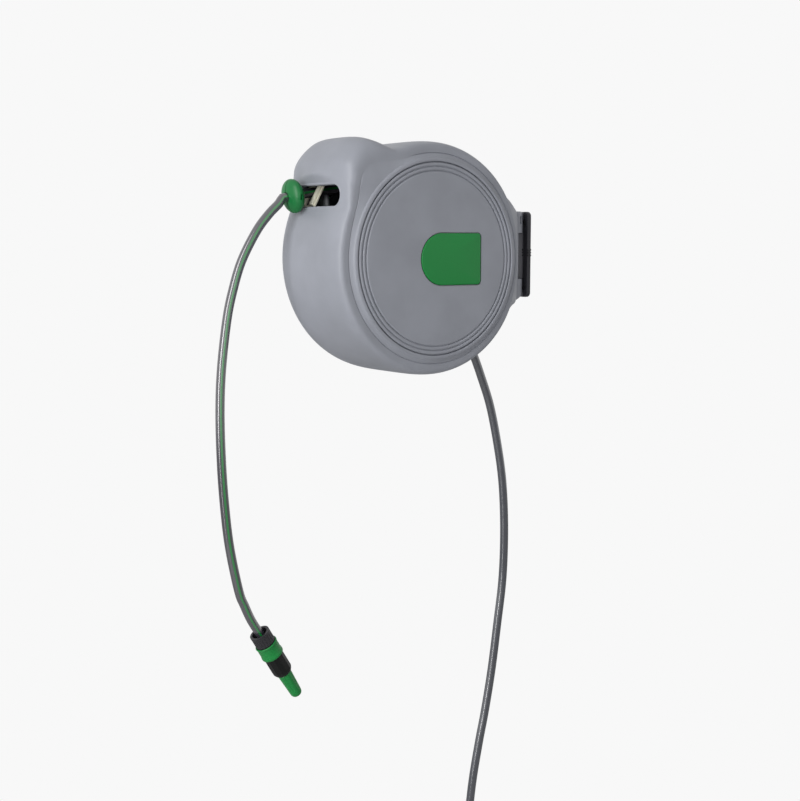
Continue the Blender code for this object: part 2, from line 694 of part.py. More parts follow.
def build_drum(dark, green_hose, brass, steel, rubber, white):
    """Core with the water chamber, flanges, wound hose, bushes, spring, water tube and fixed axle."""
    left = DRUM_LEFT + GAP
    right = DRUM_RIGHT - GAP
    inside, chamber = CORE_R - CORE_WALL, CHAMBER_R + CHAMBER_WALL
    web, cap = left + CORE_WALL, CHAMBER_END + CHAMBER_WALL
    about_axis("drum_core", [(left, CHAMBER_R), (left, CORE_R), (right, CORE_R), (right, inside), (web, inside),
                             (web, chamber), (cap, chamber), (cap, 0), (CHAMBER_END, 0),
                             (CHAMBER_END, CHAMBER_R)], dark, 32)
    about_axis("flange_left", band(DRUM_LEFT - FLANGE_T, DRUM_LEFT, FLANGE_R, RATCHET_BORE), dark, 32)
    sleeve = DRUM_RIGHT - HUB_SLEEVE_L
    outside, bore = DRUM_RIGHT + FLANGE_T, BUSH_R + GAP
    about_axis("flange_right", [(outside, FLANGE_R), (DRUM_RIGHT, FLANGE_R), (DRUM_RIGHT, HUB_SLEEVE_R),
                                (sleeve, HUB_SLEEVE_R), (sleeve, bore), (outside, bore)], dark, 32)
    about_axis("winding_core", band(left, right, WINDING_R, CORE_R + GAP), green_hose, 32)
    centre_r = winding_centre()
    points = []
    for i in range(int(WINDING_POINTS * (right - GAP - HOSE_R - HOSE_X) / HOSE_PITCH) + 1):
        turn = i / WINDING_POINTS
        points.append(around(LEAD_ANGLE - 360 * turn, centre_r, HOSE_X + HOSE_PITCH * turn))
    tube("hose_winding", points, HOSE_R, green_hose, 1)
    print("winding, least gap between turns (mm)", round(1000 * (HOSE_PITCH - 2 * HOSE_R), 2))
    about_axis("bush_right", band(sleeve, outside - GAP, BUSH_R, AXLE_R + GAP), brass)
    about_axis("bush_left", band(DRUM_LEFT - FLANGE_T, web, CHAMBER_R - GAP, SPIGOT_R + GAP), brass)
    web = HALF_WIDTH - WALL - GAP
    plug = WEB_HOLE_R - GAP
    about_axis("axle", [(AXLE_END, 0), (AXLE_END, AXLE_R), (web - BEARING_PLATE_T, AXLE_R),
                        (web - BEARING_PLATE_T, BEARING_PLATE_R), (web, BEARING_PLATE_R), (web, plug),
                        (HALF_WIDTH, plug), (HALF_WIDTH, 0)], steel, 20)
    about_axis("inlet_spigot", [(-HALF_WIDTH, 0), (-HALF_WIDTH, plug), (-web, plug), (-web, BEARING_PLATE_R),
                                (BEARING_PLATE_T - web, BEARING_PLATE_R), (BEARING_PLATE_T - web, SPIGOT_R),
                                (SPIGOT_END, SPIGOT_R), (SPIGOT_END, SPIGOT_BORE),
                                (PIPE_X - SPIGOT_BORE, SPIGOT_BORE), (PIPE_X - SPIGOT_BORE, 0)], brass)
    seal_at = (SPIGOT_R + CHAMBER_R) / 2
    for n, x in enumerate(SEAL_XS):
        about_axis(f"seal_ring_{n + 1}", arc(x, seal_at, SEAL_R, 0, 300, 5), rubber)
    tube_low = CHAMBER_R + CHAMBER_WALL + GAP
    tube_high = CORE_R - CORE_WALL - 3 * GAP
    turned("water_tube", band(tube_low, tube_high, WATER_TUBE_R, WATER_TUBE_R - WATER_TUBE_WALL), white,
           (WATER_TUBE_X, AXIS_Y, 0), (0, 0, 1), steps=16)
    build_power_spring(steel)


def build_power_spring(steel):
    """Flat spring wound from the axle out to the core's wall, as one strip."""
    low = AXLE_R + GAP
    high = CORE_R - CORE_WALL - GAP - SPRING_STRIP
    count = SPRING_TURNS * 12
    outline = []
    for offset, order in ((0, range(count + 1)), (SPRING_STRIP, range(count, -1, -1))):
        for i in order:
            r = low + (high - low) * i / count + offset
            a = 360 * i / 12
            outline.append((AXIS_Y - r * sin(radians(a)), r * cos(radians(a))))
    n = len(outline)
    verts = [(SPRING_LEFT, *p) for p in outline] + [(SPRING_RIGHT, *p) for p in outline]
    half = count + 1
    faces = [(i, (i + 1) % n, n + (i + 1) % n, n + i) for i in range(n)]
    for i in range(count):
        j = 2 * half - 1 - i
        faces.append((i, i + 1, j - 1, j))
        faces.append((n + i, n + j, n + j - 1, n + i + 1))
    solid("power_spring", verts, faces, steel)


def gear(name, teeth, centre_r, bore, material, low=GEAR_X):
    """Spur gear with straight-sided teeth; one tooth points along the train, away from the drum."""
    root_r = MODULE * (teeth / 2 - 1.2)
    tip_r = MODULE * (teeth / 2 + 0.8)
    centre = around(TRAIN_ANGLE, centre_r)
    outline = []
    for k in range(teeth):
        for share, radius in ((-0.32, root_r), (-0.11, tip_r), (0.11, tip_r), (0.32, root_r)):
            a = radians(TRAIN_ANGLE + 360 * (k + share) / teeth)
            outline.append((centre.y - radius * sin(a), centre.z + radius * cos(a)))
    wheel = prism(name, outline, "X", low, GEAR_X + GEAR_W, material)
    high = GEAR_X + GEAR_W + PAST
    hole = turned(name + "_bore", band(low - PAST, high, bore), centre=(0, centre.y, centre.z))
    boolean(wheel, hole)
    return wheel


def build_gear_train(white, steel):
    """Drum gear, idler on its pin and the gear that turns the level-wind screw."""
    drum_r = MODULE * DRUM_TEETH / 2
    idler_r = MODULE * IDLER_TEETH / 2
    idler_at = drum_r + idler_r
    gear("drum_gear", DRUM_TEETH, 0, DRUM_GEAR_BORE, white, DRUM_RIGHT + FLANGE_T + GAP)
    gear("idler_gear", IDLER_TEETH, idler_at, IDLER_PIN_R + GAP, white)
    gear("screw_gear", SCREW_TEETH, TRAIN_R, JOURNAL_R + GAP, white)
    web = HALF_WIDTH - WALL - GAP
    shoulder = GEAR_X + GEAR_W + GAP
    collar = IDLER_PIN_R + IDLER_PIN_SHOULDER
    turned("idler_pin", [(GEAR_X + GAP, 0), (GEAR_X + GAP, IDLER_PIN_R), (shoulder, IDLER_PIN_R),
                         (shoulder, collar), (web, collar), (web, 0)],
           steel, around(TRAIN_ANGLE, idler_at), steps=16)
    turned("lead_screw", [(-JOURNAL_END, 0), (-JOURNAL_END, JOURNAL_R), (-JOURNAL_AT, JOURNAL_R),
                          (-JOURNAL_AT, LEAD_SCREW_R), (JOURNAL_AT, LEAD_SCREW_R), (JOURNAL_AT, JOURNAL_R),
                          (JOURNAL_END, JOURNAL_R), (JOURNAL_END, 0)],
           steel, around(TRAIN_ANGLE, TRAIN_R), steps=12)
    turned("guide_rod", band(-ROD_HALF_L, ROD_HALF_L, ROD_R), steel, around(ROD_ANGLE, ROD_AT_R), steps=16)


def build_ratchet(dark, steel):
    """Toothed wheel on the left flange and the lifted pawl on its pin."""
    right = DRUM_LEFT - FLANGE_T - GAP
    outline = []
    for k in range(RATCHET_TEETH):
        at = RATCHET_PHASE + 360 * k / RATCHET_TEETH
        for angle, radius in ((at - 0.4, RATCHET_R - RATCHET_DEPTH), (at, RATCHET_R)):
            p = around(angle, radius)
            outline.append((p.y, p.z))
    wheel = prism("ratchet_wheel", outline, "X", right - RATCHET_T, right, dark)
    hole = axis_cylinder("ratchet_bore", RATCHET_BORE, right - PAST, right + PAST, 20)
    boolean(wheel, hole)
    pivot = from_axis(PAWL_PIVOT, 0)
    tip = from_axis(PAWL_TIP, 0)
    heading = degrees(atan2(tip.z - pivot.z, tip.y - pivot.y))
    along = Vector((0, cos(radians(heading)), sin(radians(heading))))
    across = Vector((0, -along.z, along.y)) * PAWL_HALF_W
    inward = tip - along * 0.004 + across
    outer = tip - along * 0.009 - across
    outline = arc(pivot.y, pivot.z, PAWL_EYE_R, heading + 25, heading + 335, 14)
    outline += [(outer.y, outer.z), ((tip - across * 0.6).y, (tip - across * 0.6).z),
                ((tip + across * 0.9).y, (tip + across * 0.9).z), (inward.y, inward.z)]
    pawl = prism("ratchet_pawl", outline, "X", right - RATCHET_T, right - PAWL_PLAY, dark)
    eye = turned("pawl_eye", band(right - PAST, right + PAST, PAWL_PIN_R + GAP), centre=(0, pivot.y, pivot.z),
                 steps=12)
    boolean(pawl, eye)
    web = HALF_WIDTH - WALL - GAP
    shoulder = right - RATCHET_T - GAP
    end = right - PAWL_PLAY
    turned("pawl_pin", [(-web, 0), (-web, 2.2 * PAWL_PIN_R), (shoulder, 2.2 * PAWL_PIN_R),
                        (shoulder, PAWL_PIN_R), (end, PAWL_PIN_R), (end, 0)],
           steel, (0, pivot.y, pivot.z), steps=12)


def build_carriage(ivory):
    """Head on the screw and the rod, two leaning posts, a sill below and two guide rollers."""
    def box_outline(ahead, behind, bottom, top):
        low, high = AXIS_Y - ahead, AXIS_Y - behind
        return [(low, bottom), (high, bottom), (high, top), (low, top)]
    front = AXIS_Y - HEAD_FRONT
    shape = [(front, HEAD_BOTTOM), (AXIS_Y - HEAD_BACK, HEAD_BOTTOM), (AXIS_Y - HEAD_BACK, HEAD_TOP),
             (front + HEAD_CORNER, HEAD_TOP), (front, HEAD_TOP - HEAD_CORNER)]
    head = prism("carriage", shape, "X",
                 HOSE_X - CARRIAGE_HALF_W, HOSE_X + CARRIAGE_HALF_W, ivory)
    top = from_axis(ROLLER_TOP, 0)
    foot = from_axis(ROLLER_FOOT, 0)
    lean = (top - foot).normalized()
    back = Vector((0, lean.z, -lean.y)) * POST_SET_BACK
    thick = Vector((0, lean.z, -lean.y)) * POST_HALF_T
    offset = HOSE_R + ROLLER_R + ROLLER_PLAY
    sill_half = offset + ROLLER_R
    for n, side in enumerate((-1, 1)):
        low = foot + back - lean * POST_DOWN
        high = top + back + lean * POST_UP
        outline = [(low - thick).yz, (low + thick).yz, (high + thick).yz, (high - thick).yz]
        x = HOSE_X + side * offset
        post = prism(f"carriage_post_{n}", outline, "X", x - POST_HALF_W, x + POST_HALF_W)
        boolean(head, post, "UNION")
    sill = prism("carriage_sill", box_outline(SILL_FRONT, SILL_BACK, SILL_BOTTOM, SILL_TOP), "X",
                 HOSE_X - sill_half, HOSE_X + sill_half)
    boolean(head, sill, "UNION")
    cap_outline = box_outline(HEAD_FRONT - CAP_SET_BACK, HEAD_BACK, HEAD_BOTTOM, HEAD_BOTTOM + CAP_T)
    cap = prism("carriage_cap", cap_outline, "X", HOSE_X - sill_half, HOSE_X + sill_half)
    boolean(head, cap, "UNION")
    bores = ((TRAIN_ANGLE, TRAIN_R, LEAD_SCREW_R), (ROD_ANGLE, ROD_AT_R, ROD_R))
    for n, (angle, radius, bore) in enumerate(bores):
        hole = turned(f"carriage_bore_{n}", band(-RING_X, RING_X, bore + GAP), centre=around(angle, radius),
                      steps=16)
        boolean(head, hole)
    length = (top - foot).length
    for side, name in ((-1, "guide_roller_left"), (1, "guide_roller_right")):
        at = foot + Vector((HOSE_X + side * offset, 0, 0))
        end = length + ROLLER_PIN_L
        turned(name, [(-ROLLER_PIN_L, 0), (-ROLLER_PIN_L, ROLLER_PIN_R), (0, ROLLER_PIN_R), (0, ROLLER_R),
                      (length, ROLLER_R), (length, ROLLER_PIN_R), (end, ROLLER_PIN_R), (end, 0)],
               ivory, at, lean, steps=12)
        pin_hole = turned(name + "_hole", band(-2.5 * ROLLER_PIN_L, end + GAP, ROLLER_PIN_R + GAP), centre=at,
                          direction=lean, steps=12)
        boolean(head, pin_hole)


def stop_frame():
    centre = from_axis(STOP_AT, HOSE_X)
    way = Vector((0, -cos(radians(STOP_TILT)), -sin(radians(STOP_TILT))))
    return centre, way


def build_hose_through(green_hose):
    """The hose from the top of the winding, between the rollers and through the stop."""
    lead_r = winding_centre() + 2 * HOSE_R + GAP
    forward, up = LEAD_GUIDE
    reach = hypot(forward, up)
    slope = asin(lead_r / reach) - atan2(up, forward)
    run = sqrt(reach ** 2 - lead_r ** 2)
    start = (forward - run * cos(slope), up + run * sin(slope))
    centre, way = stop_frame()
    points = [from_axis((start[0] + (forward - start[0]) * t, start[1] + (up - start[1]) * t), HOSE_X)
              for t in (0, 0.25, 0.5, 0.75, 1)]
    points += [centre - way * 0.91 * STOP_HALF_T, centre, centre + way * (STOP_HALF_T - GAP)]
    tube("hose_lead", points, HOSE_R, green_hose, 2)


def build_stop(green, steel):
    """Flattened ball in two halves, split on the plane of the hose, with one clamping screw."""
    centre, way = stop_frame()
    profile = [(-STOP_HALF_T, 0)]
    for a in range(-72, 90, 18):
        profile.append((STOP_HALF_T * sin(radians(a)), STOP_R * cos(radians(a))))
    profile.append((STOP_HALF_T, 0))
    reach = STOP_R + PAST
    bore = turned("stop_bore", band(-reach, reach, HOSE_R + GAP), centre=centre, direction=way)
    up = Vector((0, 0, 1)) - way * way.z
    screw_at = centre + up.normalized() * -STOP_SCREW_AT
    deep = sqrt(STOP_R ** 2 - STOP_SCREW_AT ** 2)
    seat = deep - STOP_SCREW_END
    low = -STOP_SCREW_END - GAP
    wide, narrow = STOP_SCREW_HEAD_R + GAP, STOP_SCREW_R + GAP
    screw_hole = turned("stop_screw_hole", [(low, 0), (low, narrow), (seat, narrow), (seat, wide), (reach, wide),
                                            (reach, 0)], centre=screw_at, steps=10)
    for side, name in ((-1, "hose_stop_left"), (1, "hose_stop_right")):
        half = turned(name, profile, green, centre, way, steps=32)
        edge = HOSE_X + side * GAP / 2
        away = HOSE_X + side * reach
        square = [(centre.y + y, centre.z + z)
                  for y, z in ((-reach, -reach), (reach, -reach), (reach, reach), (-reach, reach))]
        keep = prism(name + "_keep", square, "X", min(edge, away), max(edge, away))
        boolean(half, keep, "INTERSECT")
        boolean(half, bore)
        boolean(half, screw_hole)
    under = seat + GAP
    top = under + STOP_SCREW_HEAD_T
    turned("stop_screw", [(-STOP_SCREW_END, 0), (-STOP_SCREW_END, STOP_SCREW_R), (under, STOP_SCREW_R),
                          (under, STOP_SCREW_HEAD_R), (top, STOP_SCREW_HEAD_R), (top, 0)],
           steel, screw_at, steps=10)


def quick_connector(prefix, at, way, barrel_l, black, green, end_r):
    """Hose nut with its cup, barrel and sliding collar, from the hose's side on."""
    turned(prefix + "_nut", [(0, NUT_CUP_R), (0, NUT_R), (NUT_L, NUT_R), (NUT_L, 0), (NUT_CUP_DEPTH, 0),
                             (NUT_CUP_DEPTH, NUT_CUP_R)], black, at, way, steps=20)
    start = NUT_L + GAP
    end = NUT_L + barrel_l
    barrel = [(start, 0), (start, NUT_R), (end - BARREL_TAPER, NUT_R), (end, end_r), (end, 0)]
    turned(prefix + "_body", barrel, black, at, way, steps=20)
    inner = NUT_R + GAP
    turned(prefix + "_collar", band(start, start + COLLAR_L, inner + COLLAR_T, inner), green, at, way, steps=20)
    return end


def build_hanging_hose(green_hose, black, green):
    """The free hose as it hangs, and the connector and nozzle at its end."""
    centre, way = stop_frame()
    start = centre + way * STOP_HALF_T
    lead = centre + way * (STOP_HALF_T + HOSE_R)
    tilt = radians(END_TILT)
    end_way = Vector((0, sin(tilt), -cos(tilt)))
    rim = centre + Vector((0, *NUT_RIM))
    route = [start, lead] + [centre + Vector((0, y, z)) for y, z in HOSE_ROUTE]
    route += [rim, rim + end_way * (NUT_CUP_DEPTH - GAP)]
    points = smooth_route(route, 2.6 * 2 * HOSE_R)
    tube("hanging_hose", points, HOSE_R, green_hose, 2)
    length = float(np.linalg.norm(np.diff(points, axis=0), axis=1).sum())
    print("hanging hose length", round(length, 4), "from", tuple(round(v, 4) for v in start))
    end = quick_connector("connector", rim, end_way, BARREL_L, black, green, BARREL_END_R)
    tip = end + NOZZLE_L
    floor = end + 0.6 * NOZZLE_L
    edge = NOZZLE_TIP_EDGE
    nozzle = [(end + GAP, 0), (end + GAP, NOZZLE_R), (tip - edge, NOZZLE_TIP_R + 0.4 * edge),
              (tip, NOZZLE_TIP_R - 0.5 * edge), (tip, NOZZLE_BORE), (floor, NOZZLE_BORE), (floor, 0)]
    turned("nozzle", nozzle, green, rim, end_way, steps=20)


def gland_mouth():
    return around(GLAND_ANGLE, GLAND_OUT + GAP, FEED_X)


def coil_point(turn):
    """Centre line of the feed coil; it starts at the rear going down and steps towards +X."""
    out = max(turn - (COIL_TURNS - 0.5), 0) * 2
    step = COIL_STEP * turn + COIL_LEAD_OUT * out * out * (3 - 2 * out)
    a = -2 * pi * turn
    rear = gland_mouth() + Vector((0, *COIL_REAR))
    return rear + Vector((step, COIL_R * (cos(a) - 1), COIL_R * sin(a)))


def build_feed(dark_hose, black, green, brass):
    """Inlet pipe inside, gland, the hanging feed hose, its coil with two ties and the tap connector."""
    radial = outward(GLAND_ANGLE)
    low, high = SPIGOT_R + GAP, PIPE_AT_R - PIPE_BEND
    foot = Vector((PIPE_X, AXIS_Y, 0))
    pipe = [foot + radial * (low + (high - low) * share) for share in (0, 0.25, 0.6, 1)]
    corner = foot + Vector((PIPE_BEND, 0, 0)) + radial * high
    for a in (22.5, 45, 67.5, 90):
        pipe.append(corner + PIPE_BEND * (radial * sin(radians(a)) - Vector((cos(radians(a)), 0, 0))))
    pipe.append(Vector((FEED_X - GLAND_R - GAP, AXIS_Y, 0)) + radial * PIPE_AT_R)
    tube("inlet_pipe", pipe, HOSE_R, black, 2)
    face = RIM_R + GLAND_COLLAR_T
    seat = RIM_R + GAP
    turned("feed_gland", [(GLAND_IN, 0), (GLAND_IN, GLAND_R), (seat, GLAND_R), (seat, GLAND_COLLAR_R),
                          (face, GLAND_COLLAR_R), (face + GLAND_EDGE, GLAND_R + GLAND_EDGE),
                          (GLAND_OUT, GLAND_R), (GLAND_OUT, 0)], black, (FEED_X, AXIS_Y, 0), radial)
    start = gland_mouth()
    top = coil_point(0) + Vector((0, 0, 4 * HOSE_R))
    route = [start, start + radial * HOSE_R] + [start + Vector((0, y, z)) for y, z in FEED_ROUTE]
    route += [top + Vector((0, 0, 2 * HOSE_R)), top]
    points = smooth_route(route, 3 * 2 * HOSE_R)
    tube("feed_hose", points, HOSE_R, dark_hose, 2)
    free = float(np.linalg.norm(np.diff(points, axis=0), axis=1).sum())
    low = Vector((0, 0, -4 * HOSE_R))
    turns = [coil_point(i / 24) for i in range(24 * COIL_TURNS + 1)]
    coil = [top + Vector((0, 0, -GAP))] + turns + [turns[-1] + low * 0.5, turns[-1] + low]
    tube("feed_coil", coil, HOSE_R, dark_hose, 1)
    wound = float(np.linalg.norm(np.diff(np.array(coil), axis=0), axis=1).sum())
    apart = np.array(turns)
    gaps = np.linalg.norm(apart[:, None] - apart[None], axis=2)
    far = np.abs(np.subtract.outer(np.arange(len(turns)), np.arange(len(turns)))) > 12
    print("feed hose length", round(free + wound, 4), "free", round(free, 4), "wound", round(wound, 4),
          "coil's least gap (mm)", round(1000 * (gaps[far].min() - 2 * HOSE_R), 2))
    build_ties(black)
    tap = coil[-1] + Vector((0, 0, NUT_CUP_DEPTH - GAP))
    quick_connector("tap", tap, (0, 0, -1), TAP_BARREL_L, black, green, TAP_END_R)


def build_ties(black):
    """Straps round the coil's turns, at its front and at its bottom."""
    def outline(near, far, level, room, corner):
        return rounded_rectangle(near - room, far + room, level - room, level + room, corner, 3)

    def ring(name, axis, near, far, level, centre):
        inner = TIE_ROOM + HOSE_R
        low, high = centre - TIE_W / 2, centre + TIE_W / 2
        strap = prism(name, outline(near, far, level, inner + TIE_T, TIE_CORNER), axis, low, high, black)
        hole = prism(name + "_hole", outline(near, far, level, inner, TIE_CORNER - TIE_T), axis, low - PAST,
                     high + PAST)
        boolean(strap, hole)
    first, last = coil_point(0.5), coil_point(COIL_TURNS - 0.5)
    ring("coil_tie_front", "Z", first.x, last.x, first.y, first.z)
    first, last = coil_point(0.25), coil_point(COIL_TURNS - 0.75)
    ring("coil_tie_bottom", "Y", first.x, last.x, first.z, first.y)


def build():
    clear_scene()
    grey = finish("grey_plastic", "9EA2AB", 0.5)
    dark = finish("dark_plastic", "3A3C40", 0.5)
    black = finish("black_plastic", "222326", 0.45)
    green = finish("green_plastic", "1E7A3C", 0.4)
    ivory = finish("ivory_plastic", "CFC7A6", 0.5)
    white = finish("natural_nylon", "DDDCD4", 0.5)
    steel = finish("zinc_steel", "B4B7BA", 0.35, 1.0)
    brass = finish("brass", "B79A5B", 0.35, 1.0)
    rubber = finish("black_rubber", "1A1A1A", 0.8)
    green_hose = finish("grey_hose_green_stripe", "6E7078", 0.45)
    dark_hose = finish("dark_feed_hose", "43474B", 0.5)
    build_bracket(black, steel, white)
    build_housing(grey)
    build_housing_screws(steel)
    build_side_covers(grey, green)
    build_drum(dark, green_hose, brass, steel, rubber, white)
    build_gear_train(white, steel)
    build_ratchet(dark, steel)
    build_carriage(ivory)
    build_hose_through(green_hose)
    build_stop(green, steel)
    build_hanging_hose(green_hose, black, green)
    build_feed(dark_hose, black, green, brass)


build()
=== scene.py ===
"""Hose reel on its wall bracket, seen from the front right.

Metres, +Z up.  +Y points into the wall, the drum turns about X and +X is the side with the badge.
Angles round the drum are in degrees from straight up towards the front, which is -Y.
"""

import bmesh
import bpy
import numpy as np
from mathutils import Euler, Matrix


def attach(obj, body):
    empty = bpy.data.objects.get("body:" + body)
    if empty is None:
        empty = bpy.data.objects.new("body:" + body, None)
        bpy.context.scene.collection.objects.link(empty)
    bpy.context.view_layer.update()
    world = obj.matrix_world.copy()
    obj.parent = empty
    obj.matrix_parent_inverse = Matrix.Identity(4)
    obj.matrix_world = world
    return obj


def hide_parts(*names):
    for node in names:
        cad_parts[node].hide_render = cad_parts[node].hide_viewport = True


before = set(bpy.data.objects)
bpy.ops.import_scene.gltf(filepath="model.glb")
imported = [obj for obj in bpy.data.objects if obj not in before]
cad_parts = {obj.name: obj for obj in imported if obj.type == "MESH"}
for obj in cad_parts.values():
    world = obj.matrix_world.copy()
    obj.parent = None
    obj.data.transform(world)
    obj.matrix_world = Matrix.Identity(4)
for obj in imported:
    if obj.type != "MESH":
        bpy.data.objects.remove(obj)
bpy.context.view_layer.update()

# Round housing: radii from the drum's axis, and distances from the plane where the halves meet
AXIS_Y = -0.2268
RIM_R = 0.1658
HALF_WIDTH = 0.0772
WALL = 0.0030
CREASE_R = 0.1490
SHOULDER_R, SHOULDER_X = 0.1425, 0.0800
RING_R, RING_X = 0.1378, 0.0826
COVER_R, COVER_BACK = 0.1345, 0.0783
AXLE_HOLE_R = 0.0125
HALF_SPLIT = 0.00003

# Nose with its flat front face, and the hose slot in it
NOSE_FRONT = 0.149963
NOSE_HEIGHT = 0.0400
NOSE_Y = AXIS_Y - NOSE_FRONT
SLOT_Z, SLOT_HALF_H, SLOT_HALF_L = 0.087373, 0.0148, 0.0578

# Pivot at the wall: the housing's lugs, and the bracket's hub between them
PIVOT_Y = -0.0310
LUG_R = 0.0255
HUB_R, HUB_NECK, HUB_TOP, HUB_BOTTOM = 0.0200, 0.0120, 0.0372, -0.0322
GAP = 0.0003

# Hose, and the place along the slot where it leaves
HOSE_R = 0.0065
HOSE_X = -0.0380

# Sign of X on each side, and the side's name
SIDES = ((-1, "left"), (1, "right"))

# Camera at the photograph's angle, level from side to side; the focal length is in its pixels
PICTURE_HEIGHT, FOCAL_PIXELS, SENSOR_WIDTH = 801, 1300, 36
CAMERA_PLACE = (1.53606, -1.35651, 0.02829)
CAMERA_PITCH, CAMERA_TURN = 82.92, 53.82
camera = bpy.data.objects.new("camera", bpy.data.cameras.new("camera"))
bpy.context.scene.collection.objects.link(camera)
camera.matrix_world = (Matrix.Translation(CAMERA_PLACE)
                       @ Euler(np.radians((CAMERA_PITCH, 0, CAMERA_TURN))).to_matrix().to_4x4())
camera.data.sensor_width = SENSOR_WIDTH
camera.data.lens = FOCAL_PIXELS * SENSOR_WIDTH / PICTURE_HEIGHT
camera.data.clip_start = 0.05
bpy.context.scene.camera = camera


def unit(v):
    """Vectors divided by their length."""
    return v / np.linalg.norm(v, axis=-1, keepdims=True)


def smooth_route(points, spacing):
    """Catmull-Rom curve through the given points, sampled about one spacing apart."""
    p = np.array(points, dtype=float)
    p = np.vstack([2 * p[0] - p[1], p, 2 * p[-1] - p[-2]])
    out = []
    for a, b, c, d in zip(p[:-3], p[1:-2], p[2:-1], p[3:]):
        t = np.linspace(0, 1, max(1, round(np.linalg.norm(c - b) / spacing)), endpoint=False)[:, None]
        out.append(0.5 * (2 * b + (c - a) * t + (2 * a - 5 * b + 4 * c - d) * t ** 2
                          + (3 * b - a - 3 * c + d) * t ** 3))
    return np.vstack(out + [p[-2:-1]])


def around(angle, radius, x=0.0):
    """Points round the drum's axis: radius times (-sin, cos) of the angle in Y and Z."""
    a = np.radians(angle)
    parts = np.broadcast_arrays(x, AXIS_Y - radius * np.sin(a), radius * np.cos(a))
    return np.stack(parts, axis=-1)


def quads(rows, columns, wrap_rows=False, wrap_columns=False):
    """Corner numbers of every cell of a grid, as one array."""
    i = np.arange(rows if wrap_rows else rows - 1)[:, None]
    j = np.arange(columns if wrap_columns else columns - 1)[None, :]
    k, m = (i + 1) % rows, (j + 1) % columns
    return np.stack([i * columns + j, i * columns + m, k * columns + m, k * columns + j], -1).reshape(-1, 4)


def piece(name, body, material, points, cells, node=(), uv=None, crease=35):
    """Puts points and cells into one mesh, faces outwards, and makes it ride on its body.  A piece without
    a body is a hidden tool that cuts other pieces."""
    mesh = bpy.data.meshes.new(name)
    points = np.ascontiguousarray(points, dtype=np.float32).reshape(-1, 3)
    mesh.vertices.add(len(points))
    mesh.vertices.foreach_set("co", points.ravel())
    mesh.loops.add(cells.size)
    mesh.loops.foreach_set("vertex_index", cells.ravel().astype(np.int32))
    mesh.polygons.add(len(cells))
    mesh.polygons.foreach_set("loop_start", np.arange(0, cells.size, cells.shape[1], dtype=np.int32))
    if uv is not None:
        layer = mesh.uv_layers.new(name="along")
        layer.uv.foreach_set("vector", np.asarray(uv, dtype=np.float32)[cells.ravel()].ravel())
    mesh.update(calc_edges=True)
    mesh.validate()
    close_mesh(mesh, uv is None)
    mesh.shade_smooth()
    mesh.set_sharp_from_angle(angle=np.radians(crease))
    obj = bpy.data.objects.new(name, mesh)
    bpy.context.scene.collection.objects.link(obj)
    if material:
        mesh.materials.append(material)
    if body is None:
        obj.hide_render = True
        return obj
    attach(obj, body)
    if node:
        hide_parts(*([node] if isinstance(node, str) else node))
    return obj


def close_mesh(mesh, merge=True):
    """Merges doubled points at seams and poles and turns the faces outwards."""
    work = bmesh.new()
    work.from_mesh(mesh)
    if merge:
        bmesh.ops.remove_doubles(work, verts=work.verts, dist=1e-6)
        bmesh.ops.dissolve_degenerate(work, edges=work.edges, dist=1e-7)
    bmesh.ops.recalc_face_normals(work, faces=work.faces)
    work.to_mesh(mesh)
    work.free()


def filleted(outline, radius, steps=3):
    """Rounds each corner of an outline with a quadratic arc that starts one radius, or less, before it."""
    p = np.array(outline, dtype=float)
    t = np.linspace(0, 1, steps + 1)[:, None]
    out = []
    for before, here, after in zip(np.roll(p, 1, 0), p, np.roll(p, -1, 0)):
        a, b = before - here, after - here
        la, lb = np.linalg.norm(a), np.linalg.norm(b)
        r = min(radius, 0.45 * la, 0.45 * lb)
        start, end = here + a / la * r, here + b / lb * r
        out.append((1 - t) ** 2 * start + 2 * t * (1 - t) * here + t ** 2 * end)
    return np.vstack(out)


def basis(direction):
    """Two unit vectors square to a direction and to each other."""
    d = unit(np.array(direction, dtype=float))
    side = unit(np.cross(d, (0, 0, 1) if abs(d[2]) < 0.9 else (1, 0, 0)))
    return d, side, np.cross(d, side)


def turned(name, body, material, profile, centre, direction, steps, node=(), wave=None, crease=35):
    """A closed profile of (along, radius) turned about a line; wave changes the radius with the angle."""
    line = np.array(profile, dtype=float)
    d, side, up = basis(direction)
    a = np.linspace(0, 2 * np.pi, steps, endpoint=False)
    along, radius = line[:, 0][:, None], np.maximum(line[:, 1], 0)[:, None]
    radius = radius + (wave(along, radius, a[None, :]) if wave else 0 * a[None, :])
    points = (np.array(centre) + along[..., None] * d + radius[..., None] * (np.cos(a)[None, :, None] * side
              + np.sin(a)[None, :, None] * up))
    open_line = line[0, 1] == 0 and line[-1, 1] == 0
    return piece(name, body, material, points, quads(len(line), steps, not open_line, True), node,
                 crease=crease)


# Where an outline's two numbers and its level along the axis go among X, Y and Z
PULLED_ALONG = {"X": [2, 0, 1], "Y": [0, 2, 1], "Z": [0, 1, 2]}


